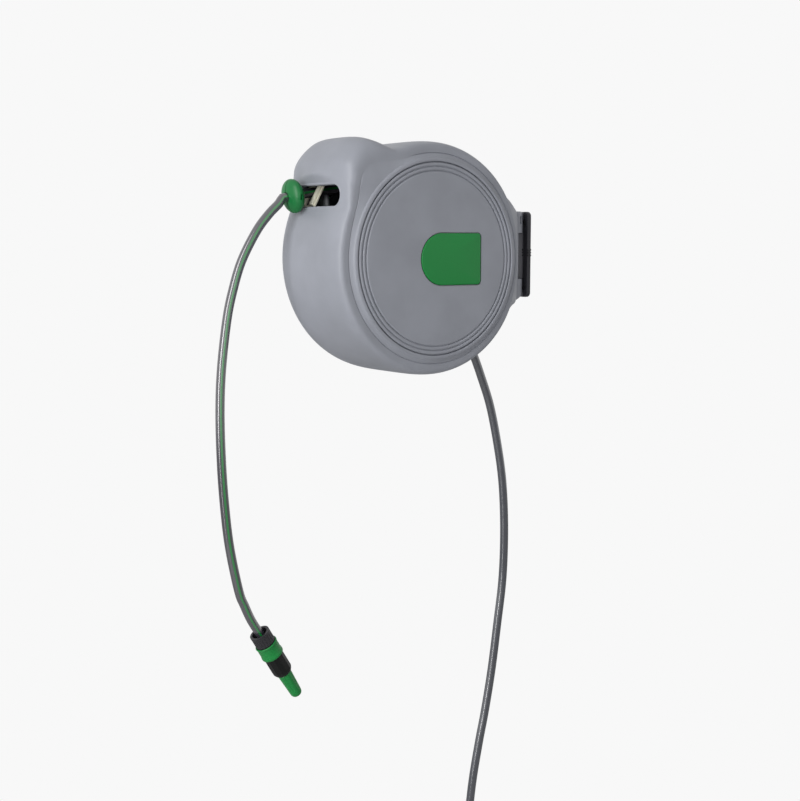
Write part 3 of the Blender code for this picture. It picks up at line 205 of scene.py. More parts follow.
def slab(name, body, material, outline, axis, low, high, edge, node=(), steps=3):
    """A convex outline in the other two axes pulled along one axis, its rims rounded by quarter circles of
    the edge radius: each ring is the outline moved inwards along its own corner directions."""
    line = np.array(outline, dtype=float)
    ahead, behind = np.roll(line, -1, 0) - line, line - np.roll(line, 1, 0)
    normal = unit(unit(ahead) + unit(behind))[:, ::-1] * (1, -1)
    area = np.sum(line[:, 0] * np.roll(line[:, 1], -1) - np.roll(line[:, 0], -1) * line[:, 1])
    normal = normal if area > 0 else -normal
    t = np.linspace(0, np.pi / 2, steps + 1)
    drop, sink = edge * (1 - np.cos(t)), edge * (1 - np.sin(t))
    levels = np.concatenate([low + drop, (high - drop)[::-1]])
    sink = np.concatenate([sink, sink[::-1]])
    rings = line[None] - normal[None] * sink[:, None, None]
    flat = np.concatenate([rings, np.broadcast_to(levels[:, None, None], (*rings.shape[:2], 1))], -1)
    caps = [np.broadcast_to(flat[i].mean(0), (1, len(line), 3)) for i in (0, -1)]
    grid = np.concatenate([caps[0], flat, caps[1]])[..., PULLED_ALONG[axis]]
    return piece(name, body, material, grid, quads(len(grid), len(line), False, True), node)


def prism_cutter(outline, axis, low, high):
    """A hidden prism of any outline, to cut other pieces with."""
    line = np.array(outline, dtype=float)
    ends = [np.column_stack([line, np.full(len(line), level)])[:, PULLED_ALONG[axis]]
            for level in (low, high)]
    n = len(line)
    i = np.arange(n)
    walls = np.stack([i, (i + 1) % n, (i + 1) % n + n, i + n], -1).tolist()
    mesh = bpy.data.meshes.new("cutter")
    mesh.from_pydata(np.vstack(ends).tolist(), [], [i.tolist(), (i[::-1] + n).tolist()] + walls)
    mesh.validate()
    close_mesh(mesh)
    obj = bpy.data.objects.new("cutter", mesh)
    bpy.context.scene.collection.objects.link(obj)
    obj.hide_render = True
    return obj


def rod(low, high, radius):
    """Profile of a plain cylinder between two places along its axis."""
    return [(low, 0), (low, radius), (high, radius), (high, 0)]


def turned_cutter(profile, centre, direction=(1, 0, 0), steps=48, material=None):
    """A hidden turned piece, to cut other pieces with.  The walls that it cuts take its material, if any."""
    return turned("cutter", None, material, profile, centre, direction, steps)


def arc(cx, cy, radius, start, end, steps):
    """Points of a circle round a centre in equal steps between two angles in degrees."""
    a = np.radians(np.linspace(start, end, steps + 1))
    return np.stack([cx + radius * np.cos(a), cy + radius * np.sin(a)], -1)


def rounded_rectangle(x0, x1, y0, y1, corner, steps=8):
    """Quarter circles at the four corners, which the straight sides join."""
    left, right, low, high = x0 + corner, x1 - corner, y0 + corner, y1 - corner
    return np.vstack([arc(right, low, corner, -90, 0, steps), arc(right, high, corner, 0, 90, steps),
                      arc(left, high, corner, 90, 180, steps), arc(left, low, corner, 180, 270, steps)])


def smoothstep(value):
    """Eases from 0 to 1: three times the square less twice the cube of the value."""
    v = np.clip(value, 0, 1)
    return v * v * (3 - 2 * v)


def cut_away(target, tool):
    """Cuts at once and takes the tool away, so that no modifier is left on the piece."""
    step = target.modifiers.new("cut", "BOOLEAN")
    step.operation = "DIFFERENCE"
    step.solver = "EXACT"
    step.object = tool
    step.material_mode = "TRANSFER" if tool.data.materials else "INDEX"
    deps = bpy.context.evaluated_depsgraph_get()
    mesh = bpy.data.meshes.new_from_object(target.evaluated_get(deps))
    target.modifiers.clear()
    target.data = mesh
    bpy.data.objects.remove(tool)


def tube(name, body, material, path, radius, node=(), sides=32):
    """A round tube swept along a path.  The way round starts at +X; the UV holds the share of the way
    round and the metres along."""
    path = np.asarray(path, dtype=float)
    t = unit(np.gradient(path, axis=0))
    n1 = unit(np.array([1.0, 0, 0]) - t[:, :1] * t)
    n2 = np.cross(t, n1)
    a = np.linspace(0, 2 * np.pi, sides + 1)
    out = np.cos(a)[None, :, None] * n1[:, None] + np.sin(a)[None, :, None] * n2[:, None]
    rings = path[:, None] + radius * out
    caps = [np.broadcast_to(path[i], (1, sides + 1, 3)) for i in (0, -1)]
    grid = np.concatenate([caps[0], rings, caps[1]])
    run = np.concatenate([[0], np.cumsum(np.linalg.norm(np.diff(path, axis=0), axis=1))])
    run = np.concatenate([run[:1], run, run[-1:]])
    shape = (len(run), sides + 1)
    uv = np.stack([np.broadcast_to(a / (2 * np.pi), shape), np.broadcast_to(run[:, None], shape)], -1)
    return piece(name, body, material, grid, quads(len(grid), sides + 1), node, uv=uv.reshape(-1, 2))


# Materials

def linear(colour):
    """sRGB hex to the four linear numbers of a colour socket."""
    c = np.array([int(colour[i:i + 2], 16) for i in (0, 2, 4)]) / 255
    return (*np.where(c <= 0.04045, c / 12.92, ((c + 0.055) / 1.055) ** 2.4).tolist(), 1.0)


def add(tree, kind, sockets=None, **settings):
    """Adds a node with its settings; a socket's value is a number, a colour or another node's output."""
    made = tree.nodes.new(kind)
    for key, value in settings.items():
        setattr(made, key, value)
    for key, value in (sockets or {}).items():
        if isinstance(value, bpy.types.NodeSocket):
            tree.links.new(value, made.inputs[key])
        else:
            made.inputs[key].default_value = value
    return made


def material(name, **sockets):
    """A node material with numbers for its shader's sockets, whose names have _ for a space."""
    made = bpy.data.materials.new(name)
    made.use_nodes = True
    shader = made.node_tree.nodes["Principled BSDF"]
    for key, value in sockets.items():
        shader.inputs[key.replace("_", " ")].default_value = value
    return made, made.node_tree, shader


# Sizes of the patterns: the colour's slow drift, the moulded grain, marks of polishing, and the braid's
# diamonds with their number round the hose
DRIFT_SIZE = 0.0714
GRAIN_SIZE, GRAIN_DEPTH = 0.00045, 0.00003
POLISH_SIZE = 0.00111
BRAID_SIZE, BRAID_DEPTH, BRAID_COUNT = 0.0030, 0.0001, 12


def moulded(name, colour, roughness, drift=0.06, ior=1.5):
    """Injection-moulded plastic: one colour that drifts a little, over a fine spark-eroded grain.
    The grain of about 0.1 mm is too fine for the picture, so it is drawn a few times coarser."""
    made, tree, shader = material(name, IOR=ior)
    place = add(tree, "ShaderNodeTexCoord").outputs["Object"]
    cloud = add(tree, "ShaderNodeTexNoise", {"Vector": place, "Scale": 1 / DRIFT_SIZE, "Detail": 3.0})
    base = np.array(linear(colour))
    dark, light = base * (1 - drift), base * (1 + drift)
    dark[3] = light[3] = 1
    ramp = add(tree, "ShaderNodeValToRGB", {"Fac": cloud.outputs["Fac"]})
    ramp.color_ramp.elements[0].position, ramp.color_ramp.elements[1].position = 0.35, 0.65
    ramp.color_ramp.elements[0].color, ramp.color_ramp.elements[1].color = dark, light
    fine = add(tree, "ShaderNodeTexNoise", {"Vector": place, "Scale": 1 / GRAIN_SIZE, "Detail": 2.0})
    gloss = add(tree, "ShaderNodeMapRange", {"Value": cloud.outputs["Fac"], "To Min": roughness - 0.04,
                                             "To Max": roughness + 0.05})
    bump = add(tree, "ShaderNodeBump", {"Height": fine.outputs["Fac"], "Strength": 0.35,
                                        "Distance": GRAIN_DEPTH})
    tree.links.new(ramp.outputs["Color"], shader.inputs["Base Color"])
    tree.links.new(gloss.outputs["Result"], shader.inputs["Roughness"])
    tree.links.new(bump.outputs["Normal"], shader.inputs["Normal"])
    return made


def metal(name, colour, roughness):
    """Zinc-plated or turned metal: cool sheen with fine uneven polish."""
    made, tree, shader = material(name, Metallic=1.0)
    place = add(tree, "ShaderNodeTexCoord").outputs["Object"]
    marks = add(tree, "ShaderNodeTexNoise", {"Vector": place, "Scale": 1 / POLISH_SIZE, "Detail": 3.0})
    tint = add(tree, "ShaderNodeValToRGB", {"Fac": marks.outputs["Fac"]})
    base = np.array(linear(colour))
    tint.color_ramp.elements[0].color = (*(base[:3] * 0.85), 1)
    tint.color_ramp.elements[1].color = (*np.minimum(base[:3] * 1.1, 1), 1)
    gloss = add(tree, "ShaderNodeMapRange", {"Value": marks.outputs["Fac"], "To Min": roughness - 0.06,
                                             "To Max": roughness + 0.1})
    tree.links.new(tint.outputs["Color"], shader.inputs["Base Color"])
    tree.links.new(gloss.outputs["Result"], shader.inputs["Roughness"])
    return made


def striped_hose(name, colour, stripe, stripes, first, half_width, roughness):
    """Extruded PVC hose: grey skin over braid, with stripes along it that follow the UV's way round, of
    which the first stripe's place and its half width are shares.  The braid's diamonds show faintly
    through the skin, whose gloss is a clear coat."""
    made, tree, shader = material(name, IOR=1.5, Roughness=roughness, Coat_Weight=1.0, Coat_Roughness=0.15,
                                  Coat_IOR=1.9)
    place = add(tree, "ShaderNodeTexCoord")
    split = add(tree, "ShaderNodeSeparateXYZ", {"Vector": place.outputs["UV"]})
    turns = add(tree, "ShaderNodeMath", {0: split.outputs["X"], 1: float(stripes), 2: -first * stripes},
                operation="MULTIPLY_ADD")
    away = add(tree, "ShaderNodeMath", {0: turns.outputs[0], 1: 0.5}, operation="PINGPONG")
    wide, blur = half_width * stripes, 0.012
    edge = add(tree, "ShaderNodeMapRange", {"Value": away.outputs[0], "From Min": wide - blur,
                                            "From Max": wide + blur, "To Min": 1.0, "To Max": 0.0})
    across = add(tree, "ShaderNodeMath", {0: split.outputs["X"], 1: 2 * np.pi * BRAID_COUNT},
                 operation="MULTIPLY")
    along = add(tree, "ShaderNodeMath", {0: split.outputs["Y"], 1: 2 * np.pi / BRAID_SIZE},
                operation="MULTIPLY")
    strands = [add(tree, "ShaderNodeMath", {0: across.outputs[0], 1: along.outputs[0]}, operation=way)
               for way in ("ADD", "SUBTRACT")]
    waves = [add(tree, "ShaderNodeMath", {0: w.outputs[0]}, operation="SINE") for w in strands]
    braid = add(tree, "ShaderNodeMath", {0: waves[0].outputs[0], 1: waves[1].outputs[0]},
                operation="MAXIMUM")
    lighter = tuple(v * 1.12 for v in linear(colour)[:3]) + (1,)
    skin = add(tree, "ShaderNodeMix", {"Factor": braid.outputs[0], "A": linear(colour), "B": lighter},
               data_type="RGBA")
    paint = add(tree, "ShaderNodeMix", {"Factor": edge.outputs["Result"], "A": skin.outputs["Result"],
                                        "B": linear(stripe)}, data_type="RGBA")
    bump = add(tree, "ShaderNodeBump", {"Height": braid.outputs[0], "Strength": 0.06,
                                        "Distance": BRAID_DEPTH})
    tree.links.new(paint.outputs["Result"], shader.inputs["Base Color"])
    tree.links.new(bump.outputs["Normal"], shader.inputs["Normal"])
    return made


# Shells, fairing and covers: mid grey with a satin sheen
GREY = moulded("moulded_grey_polypropylene", "9C9FA8", 0.46)
# Drum, flanges and the carriage's head: charcoal, dull in the shade inside
DARK = moulded("moulded_dark_polypropylene", "3A3C40", 0.5)
# Nuts, caps, ribs and ties: black with a soft sheen
BLACK = moulded("moulded_black_nylon", "2C2B2F", 0.45, ior=1.4)
# Barrels: a deeper black whose facets show by their highlights
JET = moulded("moulded_jet_black_abs", "101111", 0.4, ior=1.32)
# Badge, collars and nozzle: clear green, glossier than the grey
GREEN = moulded("moulded_green_abs", "16883E", 0.38, drift=0.04, ior=1.42)
# Stop: the same green, darkened as painted shade for the lesser light that falls on it
STOP_PAINTED_SHADE = moulded("green_stop_painted_shade", "14753A", 0.38, drift=0.04, ior=1.42)
# Hub, cage floor and the wall plate's hollow: dark grey nylon painted lighter, painted light that stands in
# for the light kept off by the shade round them
PAINTED_LIGHT_GREY = moulded("dark_grey_nylon_painted_light", "808086", 0.5)
# Shoe under the hose: charcoal, a dull gleam on its round top
SHOE = moulded("moulded_charcoal_nylon", "3C3E41", 0.5)
# Wall plate: nearly black, a soft line of light along its rounded edges
PLATE = moulded("moulded_bracket_nylon", "34343A", 0.45, ior=1.4)
# Rollers and cage: warm white, a little waxy
IVORY = moulded("moulded_ivory_acetal", "F4F0DC", 0.4)
# Bushes, gears and water tube: uncoloured, off-white and dull
NYLON = moulded("natural_nylon", "DDDCD4", 0.45)
# Pins, screws, spring and rods: bright and cool
STEEL = metal("zinc_plated_steel", "B4B7BA", 0.34)
# Inlet and axle bushes: warm yellow with turning marks
BRASS = metal("turned_brass", "B79A5B", 0.3)
# Seals: matt black
RUBBER = moulded("nitrile_rubber", "1A1A1A", 0.7)
# Hose wound on the drum: plain grey, hardly lit
WOUND = moulded("grey_pvc_hose_on_drum", "6A696F", 0.4)
# Hanging hose: dark grey with two green stripes and a bright highlight along it
HOSE = striped_hose("grey_pvc_hose", "38353E", "0A7C34", 2, 0.042, 0.036, 0.34)
# Feed hose: dark grey, its stripes barely darker
FEED = striped_hose("dark_pvc_hose", "3A3D46", "343740", 2, 0.1, 0.05, 0.38)

# Hoses.  The routes repeat those of the part's source.

STOP_TILT = np.radians(10.0)
STOP_R, STOP_HALF_T = 0.0230, 0.0115
STOP_CENTRE = np.array([HOSE_X, NOSE_Y - 0.0140, SLOT_Z + 0.0006])
STOP_WAY = np.array([0, -np.cos(STOP_TILT), -np.sin(STOP_TILT)])
END_TILT = np.radians(31.0)
END_WAY = np.array([0, np.sin(END_TILT), -np.cos(END_TILT)])
NUT_RIM = STOP_CENTRE + (0, -0.0614, -0.6220)
HOSE_IN_NUT = 0.0077
HANGING = [(-0.0232, -0.0108), (-0.0392, -0.0252), (-0.0594, -0.0488), (-0.0833, -0.0892),
           (-0.0979, -0.1298), (-0.1079, -0.1705), (-0.1172, -0.2360), (-0.1207, -0.2935),
           (-0.1202, -0.3560), (-0.1167, -0.4196), (-0.1097, -0.4845), (-0.0961, -0.5510),
           (-0.0873, -0.5742), (-0.0764, -0.5979)]
hose_start = STOP_CENTRE + STOP_WAY * STOP_HALF_T
hanging_path = smooth_route([hose_start, STOP_CENTRE + STOP_WAY * (STOP_HALF_T + HOSE_R)]
                            + [STOP_CENTRE + (0, y, z) for y, z in HANGING]
                            + [NUT_RIM, NUT_RIM + END_WAY * HOSE_IN_NUT], 0.005)
hanging_hose = tube("hanging_hose_run", "guide", HOSE, hanging_path, HOSE_R, "hanging_hose")

LEAD_START, LEAD_GUIDE = (0.0176, 0.1115), (0.1400, 0.0922)
lead_path = smooth_route([(HOSE_X, AXIS_Y - LEAD_START[0], LEAD_START[1]),
                          (HOSE_X, AXIS_Y - LEAD_GUIDE[0], LEAD_GUIDE[1]), STOP_CENTRE, hose_start], 0.005)
tube("hose_lead_run", "guide", HOSE, lead_path, HOSE_R, "hose_lead")

FEED_X = -0.0100
GLAND_WAY = np.array([0, np.sin(np.radians(45)), -np.cos(np.radians(45))])
COIL_R, COIL_TURNS, COIL_STEP, COIL_LEAD_OUT = 0.0660, 3, 0.0136, 0.02
FEED_ROUTE = [(0.0102, -0.0124), (0.0181, -0.0284), (0.0297, -0.0544), (0.0490, -0.1026),
              (0.0642, -0.1609), (0.0754, -0.2198), (0.0804, -0.2789), (0.0811, -0.3375),
              (0.0779, -0.3939), (0.0693, -0.4541), (0.0576, -0.5316), (0.0442, -0.5989),
              (0.0328, -0.6464), (0.0207, -0.7039), (0.0135, -0.7539)]
feed_start = around(225.0, 0.1783, FEED_X)
COIL_REAR = feed_start + (0, 0.0107, -0.8289)
coil_top = COIL_REAR + (0, 0, 4 * HOSE_R)
feed_run = smooth_route([feed_start, feed_start + GLAND_WAY * HOSE_R]
                        + [feed_start + (0, y, z) for y, z in FEED_ROUTE]
                        + [coil_top + (0, 0, 2 * HOSE_R), coil_top], 0.006)


def coil_line(turn):
    """Turns of the coil from its rear, going down, while it steps towards +X and leads out at its end."""
    out = np.maximum(turn - (COIL_TURNS - 0.5), 0) * 2
    a = -2 * np.pi * turn
    return COIL_REAR + np.stack([COIL_STEP * turn + COIL_LEAD_OUT * out ** 2 * (3 - 2 * out),
                                 COIL_R * (np.cos(a) - 1), COIL_R * np.sin(a)], -1)


coil_turns = coil_line(np.linspace(0, COIL_TURNS, 72 * COIL_TURNS + 1))
coil_tail = coil_turns[-1] + np.linspace(0, 1, 6)[1:, None] * (0, 0, -4 * HOSE_R)
feed_path = np.vstack([feed_run, coil_turns, coil_tail])
feed_hose = tube("feed_hose_run", "housing", FEED, feed_path, HOSE_R, ("feed_hose", "feed_coil"))


# Housing

# Knots of (angle, share of the nose's height): the nose over the rim, and the valley beside it
NOSE_SHAPE = [(15, 0), (21, 0.03), (25, 0.13), (27.5, 0.34), (30, 0.61), (33, 0.875), (36, 0.985), (40, 1),
              (45, 0.94), (49, 0.875), (52.5, 0.78)]
CREASE_SHAPE = [(14, 0), (20, 0.0125), (28, 0.15), (36, 0.425), (44, 0.6), (48, 0.525), (52, 0.375),
                (56, 0.2375), (60, 0.1375), (65, 0.075), (72, 0.025), (82, 0)]


def eased(knots, value):
    """Cubic Hermite curve through (place, height) knots, level beyond its ends."""
    xs, ys = np.array(knots, dtype=float).T
    m = np.gradient(ys, xs)
    m[0] = 0
    v = np.clip(value, xs[0], xs[-1])
    i = np.clip(np.searchsorted(xs, v) - 1, 0, len(xs) - 2)
    h = xs[i + 1] - xs[i]
    t = (v - xs[i]) / h
    return ((2 * t ** 3 - 3 * t ** 2 + 1) * ys[i] + (t ** 3 - 2 * t ** 2 + t) * h * m[i]
            + (3 * t ** 2 - 2 * t ** 3) * ys[i + 1] + (t ** 3 - t ** 2) * h * m[i + 1])


def nose_rise(angle, x):
    """Height of the nose above the round rim at an angle and a distance from the middle plane.  A hump
    runs on to a small brow over the flat front face; towards the sides hump and face are rounded into
    each other by a soft minimum instead."""
    hump = NOSE_HEIGHT * eased(NOSE_SHAPE, angle)
    front = np.maximum(NOSE_FRONT / np.sin(np.radians(np.clip(angle, 20, 160))) - RIM_R, 0)
    under = smoothstep((angle - NOSE_SHAPE[-1][0]) / 3)
    brow = hump * (1 - under) + front * under
    blend = 0.002
    soft = -blend * np.log(np.exp(-hump / blend) + np.exp(-front / blend))
    aside = smoothstep((np.abs(x) - 0.005) / 0.045)
    rise = brow * (1 - aside) + np.maximum(soft, 0) * aside
    return np.where((angle < 12) | (angle > 90), 0, rise)


def crease_radius(angle):
    """Radius of the crease beside the crown: round, with a rise of its own beside the nose."""
    inside = (angle > CREASE_SHAPE[0][0]) & (angle < CREASE_SHAPE[-1][0])
    return CREASE_R + np.where(inside, NOSE_HEIGHT * eased(CREASE_SHAPE, angle), 0)


def crown_power(angle):
    """Squareness of the crown: a rounder bulge where the nose rises and at the rear."""
    plain, less_at_nose, less_at_rear = 4.74, 1.74, 2.1
    rear = smoothstep(1 - np.abs(angle - 270) / 50)
    return plain - less_at_nose * np.clip(nose_rise(angle, 0.0) / NOSE_HEIGHT, 0, 1) - less_at_rear * rear


def crown_radius(angle, x, inset=0.0):
    """Radius of the outer wall at an angle and a distance from the middle plane: a superellipse from the
    crease, where x is the half width, to the rim or nose on the middle plane."""
    power = crown_power(angle)
    low = crease_radius(angle) - 0.8 * inset
    share = np.maximum(1 - (np.abs(x) / (HALF_WIDTH - inset)) ** power, 0) ** (1 / power)
    return low + (RIM_R + nose_rise(angle, x) - inset - low) * share


def housing_section(angle):
    """One half's wall as a closed loop of (x, radius) for each angle.  The crown comes first; then the
    crease's fine groove, which fades out in the valley beside the nose, the ring's slope, its rounded
    edge, the recess for the cover, and the inside back to the middle plane."""
    angle = angle[:, None]
    base = crease_radius(angle)
    power = crown_power(angle)

    def crown(t, inset):
        x = (HALF_WIDTH - inset) * np.maximum(np.cos(np.radians(t))[None, :], 0) ** (2 / power)
        return x, crown_radius(angle, x, inset)

    outer = crown(90 * (1 - np.linspace(0, 1, 36)) ** 1.25, 0)
    groove = 1 - smoothstep((angle - 12) / 8) * (1 - smoothstep((angle - 44) / 14))
    gx = HALF_WIDTH - groove * np.array([[0, 0.0008, 0.0010, 0.0008, 0]])
    drop = 0.0019
    gr = base - np.array([[0.0002, 0.0006, 0.0010, 0.0014, drop]])
    k = np.linspace(0, 1, 10)[None, 1:]
    sx = HALF_WIDTH + (SHOULDER_X - HALF_WIDTH) * k ** 1.15 + 0 * base
    sr = (base - drop) + (SHOULDER_R - base + drop) * k
    a = np.radians(np.linspace(20, 90, 8))[None]
    start = np.sin(a[0, 0])
    ex = SHOULDER_X + (RING_X - SHOULDER_X) * (np.sin(a) - start) / (1 - start) + 0 * base
    er = RING_R + (SHOULDER_R - RING_R) * np.cos(a) / np.cos(a[0, 0]) + 0 * base
    back = COVER_BACK - GAP
    ring = np.array([(RING_X, 0.1370), (RING_X - 0.0002, 0.1365), (RING_X - 0.0008, 0.1361),
                     (RING_X - 0.0020, 0.1359), (back, 0.1358), (back, AXLE_HOLE_R),
                     (HALF_WIDTH - WALL, AXLE_HOLE_R)])
    rx, rr = ring[:, 0][None] + 0 * base, ring[:, 1][None] + 0 * base
    inner = crown(90 * np.linspace(0, 1, 14) ** 1.2, WALL)
    x = np.concatenate([outer[0], gx, sx, ex[:, 1:], rx, inner[0]], 1)
    r = np.concatenate([outer[1], gr, sr, er[:, 1:], rr, inner[1]], 1)
    return x, r


def housing_half(side, name, node):
    """One shell: the section carried round the drum's axis, in finer steps where the nose rises."""
    angle = np.concatenate([np.arange(0, 12, 2.0), np.arange(12, 46, 0.75), np.arange(46, 62, 0.33),
                            np.arange(62, 92, 1.0), np.arange(92, 360, 2.0)])
    x, r = housing_section(angle)
    points = around(angle[:, None], r, side * np.maximum(x, HALF_SPLIT))
    return piece(name, "housing", GREY, points, quads(*x.shape, True, True), node, crease=32)


def obround(half_l, half_h, centre_z, steps=24):
    """Two half circles joined by straight sides that carry points of their own."""
    line = half_l - half_h
    across = np.linspace(-line, line, 2 * steps + 1)[1:-1]
    return np.vstack([arc(line, centre_z, half_h, -90, 90, steps),
                      np.column_stack([across[::-1], np.full(len(across), centre_z + half_h)]),
                      arc(-line, centre_z, half_h, 90, 270, steps),
                      np.column_stack([across, np.full(len(across), centre_z - half_h)])])


def nose_face(x, z):
    """Distance in front of the drum's axis of the nose's surface at places (x, height): the crown is worked
    out for a fan of angles, and the place where its height falls past the wanted one is read off."""
    a = np.linspace(38, 80, 500)[None]
    r = crown_radius(a, np.abs(x)[:, None])
    up, forward = r * np.cos(np.radians(a)), r * np.sin(np.radians(a))
    i = np.maximum(np.argmax(up < z[:, None], axis=1), 1)
    rows = np.arange(len(x))
    part = (up[rows, i - 1] - z) / (up[rows, i - 1] - up[rows, i])
    return forward[rows, i - 1] * (1 - part) + forward[rows, i] * part


def slot_lip():
    """The slot's rounded lip and its wall behind: each point of the section is an offset outwards from
    the slot's outline and a depth behind the nose's surface there.  The wall gets shallow round the right
    end, where the rollers come to stand behind it."""
    line = obround(SLOT_HALF_L, SLOT_HALF_H, SLOT_Z)
    spine = np.clip(line[:, 0], -SLOT_HALF_L + SLOT_HALF_H, SLOT_HALF_L - SLOT_HALF_H)
    out = unit(np.column_stack([line[:, 0] - spine, line[:, 1] - SLOT_Z]))
    deep, shallow = 0.0134, 0.0030
    section = np.array([(0.0034, 0.0008), (0.0028, 0.0001), (0.0020, -0.0004), (0.0010, -0.0006),
                        (0.0002, -0.0003), (-0.0003, 0.0004), (-0.0005, 0.0014), (-0.0005, deep),
                        (0.0012, deep), (0.0012, 0.0024)])
    flat = line[None] + out[None] * section[:, 0][:, None, None]
    x, z = flat[..., 0], flat[..., 1]
    room = np.interp(line[:, 0], (0.034, 0.043), (deep, shallow))
    depth = np.minimum(section[:, 1][:, None], room[None])
    edge = line[None] + out[None] * np.maximum(section[:, 0], 0)[:, None, None]
    front = nose_face(edge[..., 0].ravel(), edge[..., 1].ravel()).reshape(x.shape)
    points = np.stack([x, AXIS_Y - front + depth, z], -1)
    piece("slot_lip", "housing", GREY, points, quads(*x.shape, True, True), crease=50)


# Knots of (y, half width), (y, top) and (y, bottom), from inside the round shell to the wall
FAIRING_WIDTH = [(-0.1350, 0.0660), (-0.1100, 0.0672), (-0.1000, 0.0672), (-0.0900, 0.0666),
                 (-0.0800, 0.0650), (-0.0700, 0.0605), (-0.0600, 0.0545), (-0.0500, 0.0472),
                 (-0.0435, 0.0415), (-0.0370, 0.0335), (-0.0310, 0.0258)]
FAIRING_TOP = [(-0.1040, 0.1108), (-0.0950, 0.1052), (-0.0850, 0.0990), (-0.0775, 0.0950),
               (-0.0700, 0.0908), (-0.0600, 0.0845), (-0.0500, 0.0785), (-0.0435, 0.0750),
               (-0.0370, 0.0722), (-0.0310, 0.0705)]
FAIRING_BOTTOM = [(-0.1040, -0.1108), (-0.0950, -0.1035), (-0.0850, -0.0950), (-0.0790, -0.0902),
                  (-0.0735, -0.0862), (-0.0680, -0.0824), (-0.0610, -0.0780), (-0.0550, -0.0750),
                  (-0.0465, -0.0722), (-0.0400, -0.0703), (-0.0330, -0.0680), (-0.0240, -0.0644),
                  (-0.0150, -0.0610), (-0.0055, -0.0588)]


def fairing_line(y):
    """Top and bottom of the fairing: round with the rim, then curves that ease into the lugs."""
    start = FAIRING_TOP[0][0]
    circle = np.sqrt(np.maximum((RIM_R - 0.0006) ** 2 - (np.minimum(y, start) - AXIS_Y) ** 2, 0))
    return (np.where(y < start, circle, eased(FAIRING_TOP, y)),
            np.where(y < start, -circle, eased(FAIRING_BOTTOM, y)))


def fairing_half(side, name, node):
    """Sections across the fairing, each a superellipse that grows squarer towards the round lug."""
    tail = np.radians(np.linspace(0, 88, 16))
    y = np.concatenate([np.linspace(PIVOT_Y - 0.104, PIVOT_Y, 48), PIVOT_Y + LUG_R * np.sin(tail[1:])])
    round_end = np.sqrt(np.maximum(1 - (np.maximum(y - PIVOT_Y, 0) / LUG_R) ** 2, 0))
    half = eased(FAIRING_WIDTH, y) * round_end
    top, bottom = fairing_line(y)
    power = np.interp(y, (-0.12, -0.05, -0.03), (4.7, 8.0, 12.0))[:, None]
    a = np.radians(np.linspace(90, -90, 61))[None]
    middle, height = ((top + bottom) / 2)[:, None], ((top - bottom) / 2)[:, None]
    x = half[:, None] * np.abs(np.cos(a)) ** (2 / power)
    z = middle + height * np.sign(np.sin(a)) * np.abs(np.sin(a)) ** (2 / power)
    points = np.stack([side * np.maximum(x, HALF_SPLIT), np.broadcast_to(y[:, None], x.shape), z], -1)
    ends = [np.broadcast_to(points[i].mean(0), points[:1].shape) for i in (0, -1)]
    grid = np.concatenate([ends[0], points, ends[1]])
    obj = piece(name, "housing", GREY, grid, quads(len(grid), grid.shape[1], False, True), node, crease=30)
    open_lugs(obj)
    if side > 0:
        slot = rounded_rectangle(-0.0228, -0.0196, 0.0505, 0.0630, 0.0012)
        cut_away(obj, prism_cutter(slot, "X", 0.0190, 0.03))


def open_lugs(obj):
    """Parts the fairing's end into two lugs: room round the hub, the pin's bore, and a quarter circle off
    the lower lug's back edge."""
    behind, room = 0.0035, HUB_R + 0.0025
    edge = np.degrees(np.arcsin(behind / room))
    opening = np.vstack([[(0.09, PIVOT_Y + behind), (0.09, 0.01), (-0.09, 0.01), (-0.09, PIVOT_Y + behind)],
                         arc(0, PIVOT_Y, room, 180 - edge, 360 + edge, 40)])
    cut_away(obj, prism_cutter(opening, "Z", HUB_BOTTOM - GAP, HUB_TOP + GAP))
    bore = [(-0.0570, 0), (-0.0570, 0.0048), (-0.0528, 0.0048), (-0.0528, 0.0078), (0.0625, 0.0078),
            (0.0625, 0.0083), (0.08, 0.0083), (0.08, 0)]
    cut_away(obj, turned_cutter(bore, (0, PIVOT_Y, 0), (0, 0, 1)))
    back, low, round_off = PIVOT_Y + LUG_R, HUB_BOTTOM - GAP, 0.0070
    corner = np.vstack([arc(back - round_off, low - round_off, round_off, 90, 0, 10),
                        [(0.01, low - round_off), (0.01, low + 0.001), (back - round_off, low + 0.001)]])
    cut_away(obj, prism_cutter(corner, "X", -0.04, 0.04))


WELL_ANGLES = (13, 110, 165, 340)
WELL_R, WELL_WALL_R, WELL_CENTRE_R = 0.0041, 0.0066, RIM_R - 0.0138


def screw_wells(shell):
    """Four wells from the plain side, each a hole in the shell with a sleeve behind it."""
    sleeve = [(-0.0762, WELL_R), (-0.0204, WELL_R), (-0.0204, WELL_WALL_R), (-0.0762, WELL_WALL_R)]
    for n, angle in enumerate(WELL_ANGLES):
        at = around(angle, WELL_CENTRE_R)
        cut_away(shell, turned_cutter(rod(-0.09, -0.06, WELL_R), at, steps=32))
        turned(f"screw_well_{n + 1}", "housing", GREY, sleeve, at, (1, 0, 0), 32)


for side, tag in SIDES:
    shell = housing_half(side, "shell_" + tag, "housing_" + tag)
    cut_away(shell, prism_cutter(obround(SLOT_HALF_L, SLOT_HALF_H, SLOT_Z), "Y", NOSE_Y - 0.02,
                                 NOSE_Y + 0.016))
    if side < 0:
        screw_wells(shell)
    fairing_half(side, "fairing_" + tag, "housing_" + tag)
slot_lip()
slab("lug_latch", "housing", GREY, rounded_rectangle(-0.0262, -0.0202, 0.0420, 0.0462, 0.0008, 3), "X",
     0.0200, 0.0241, 0.0004)


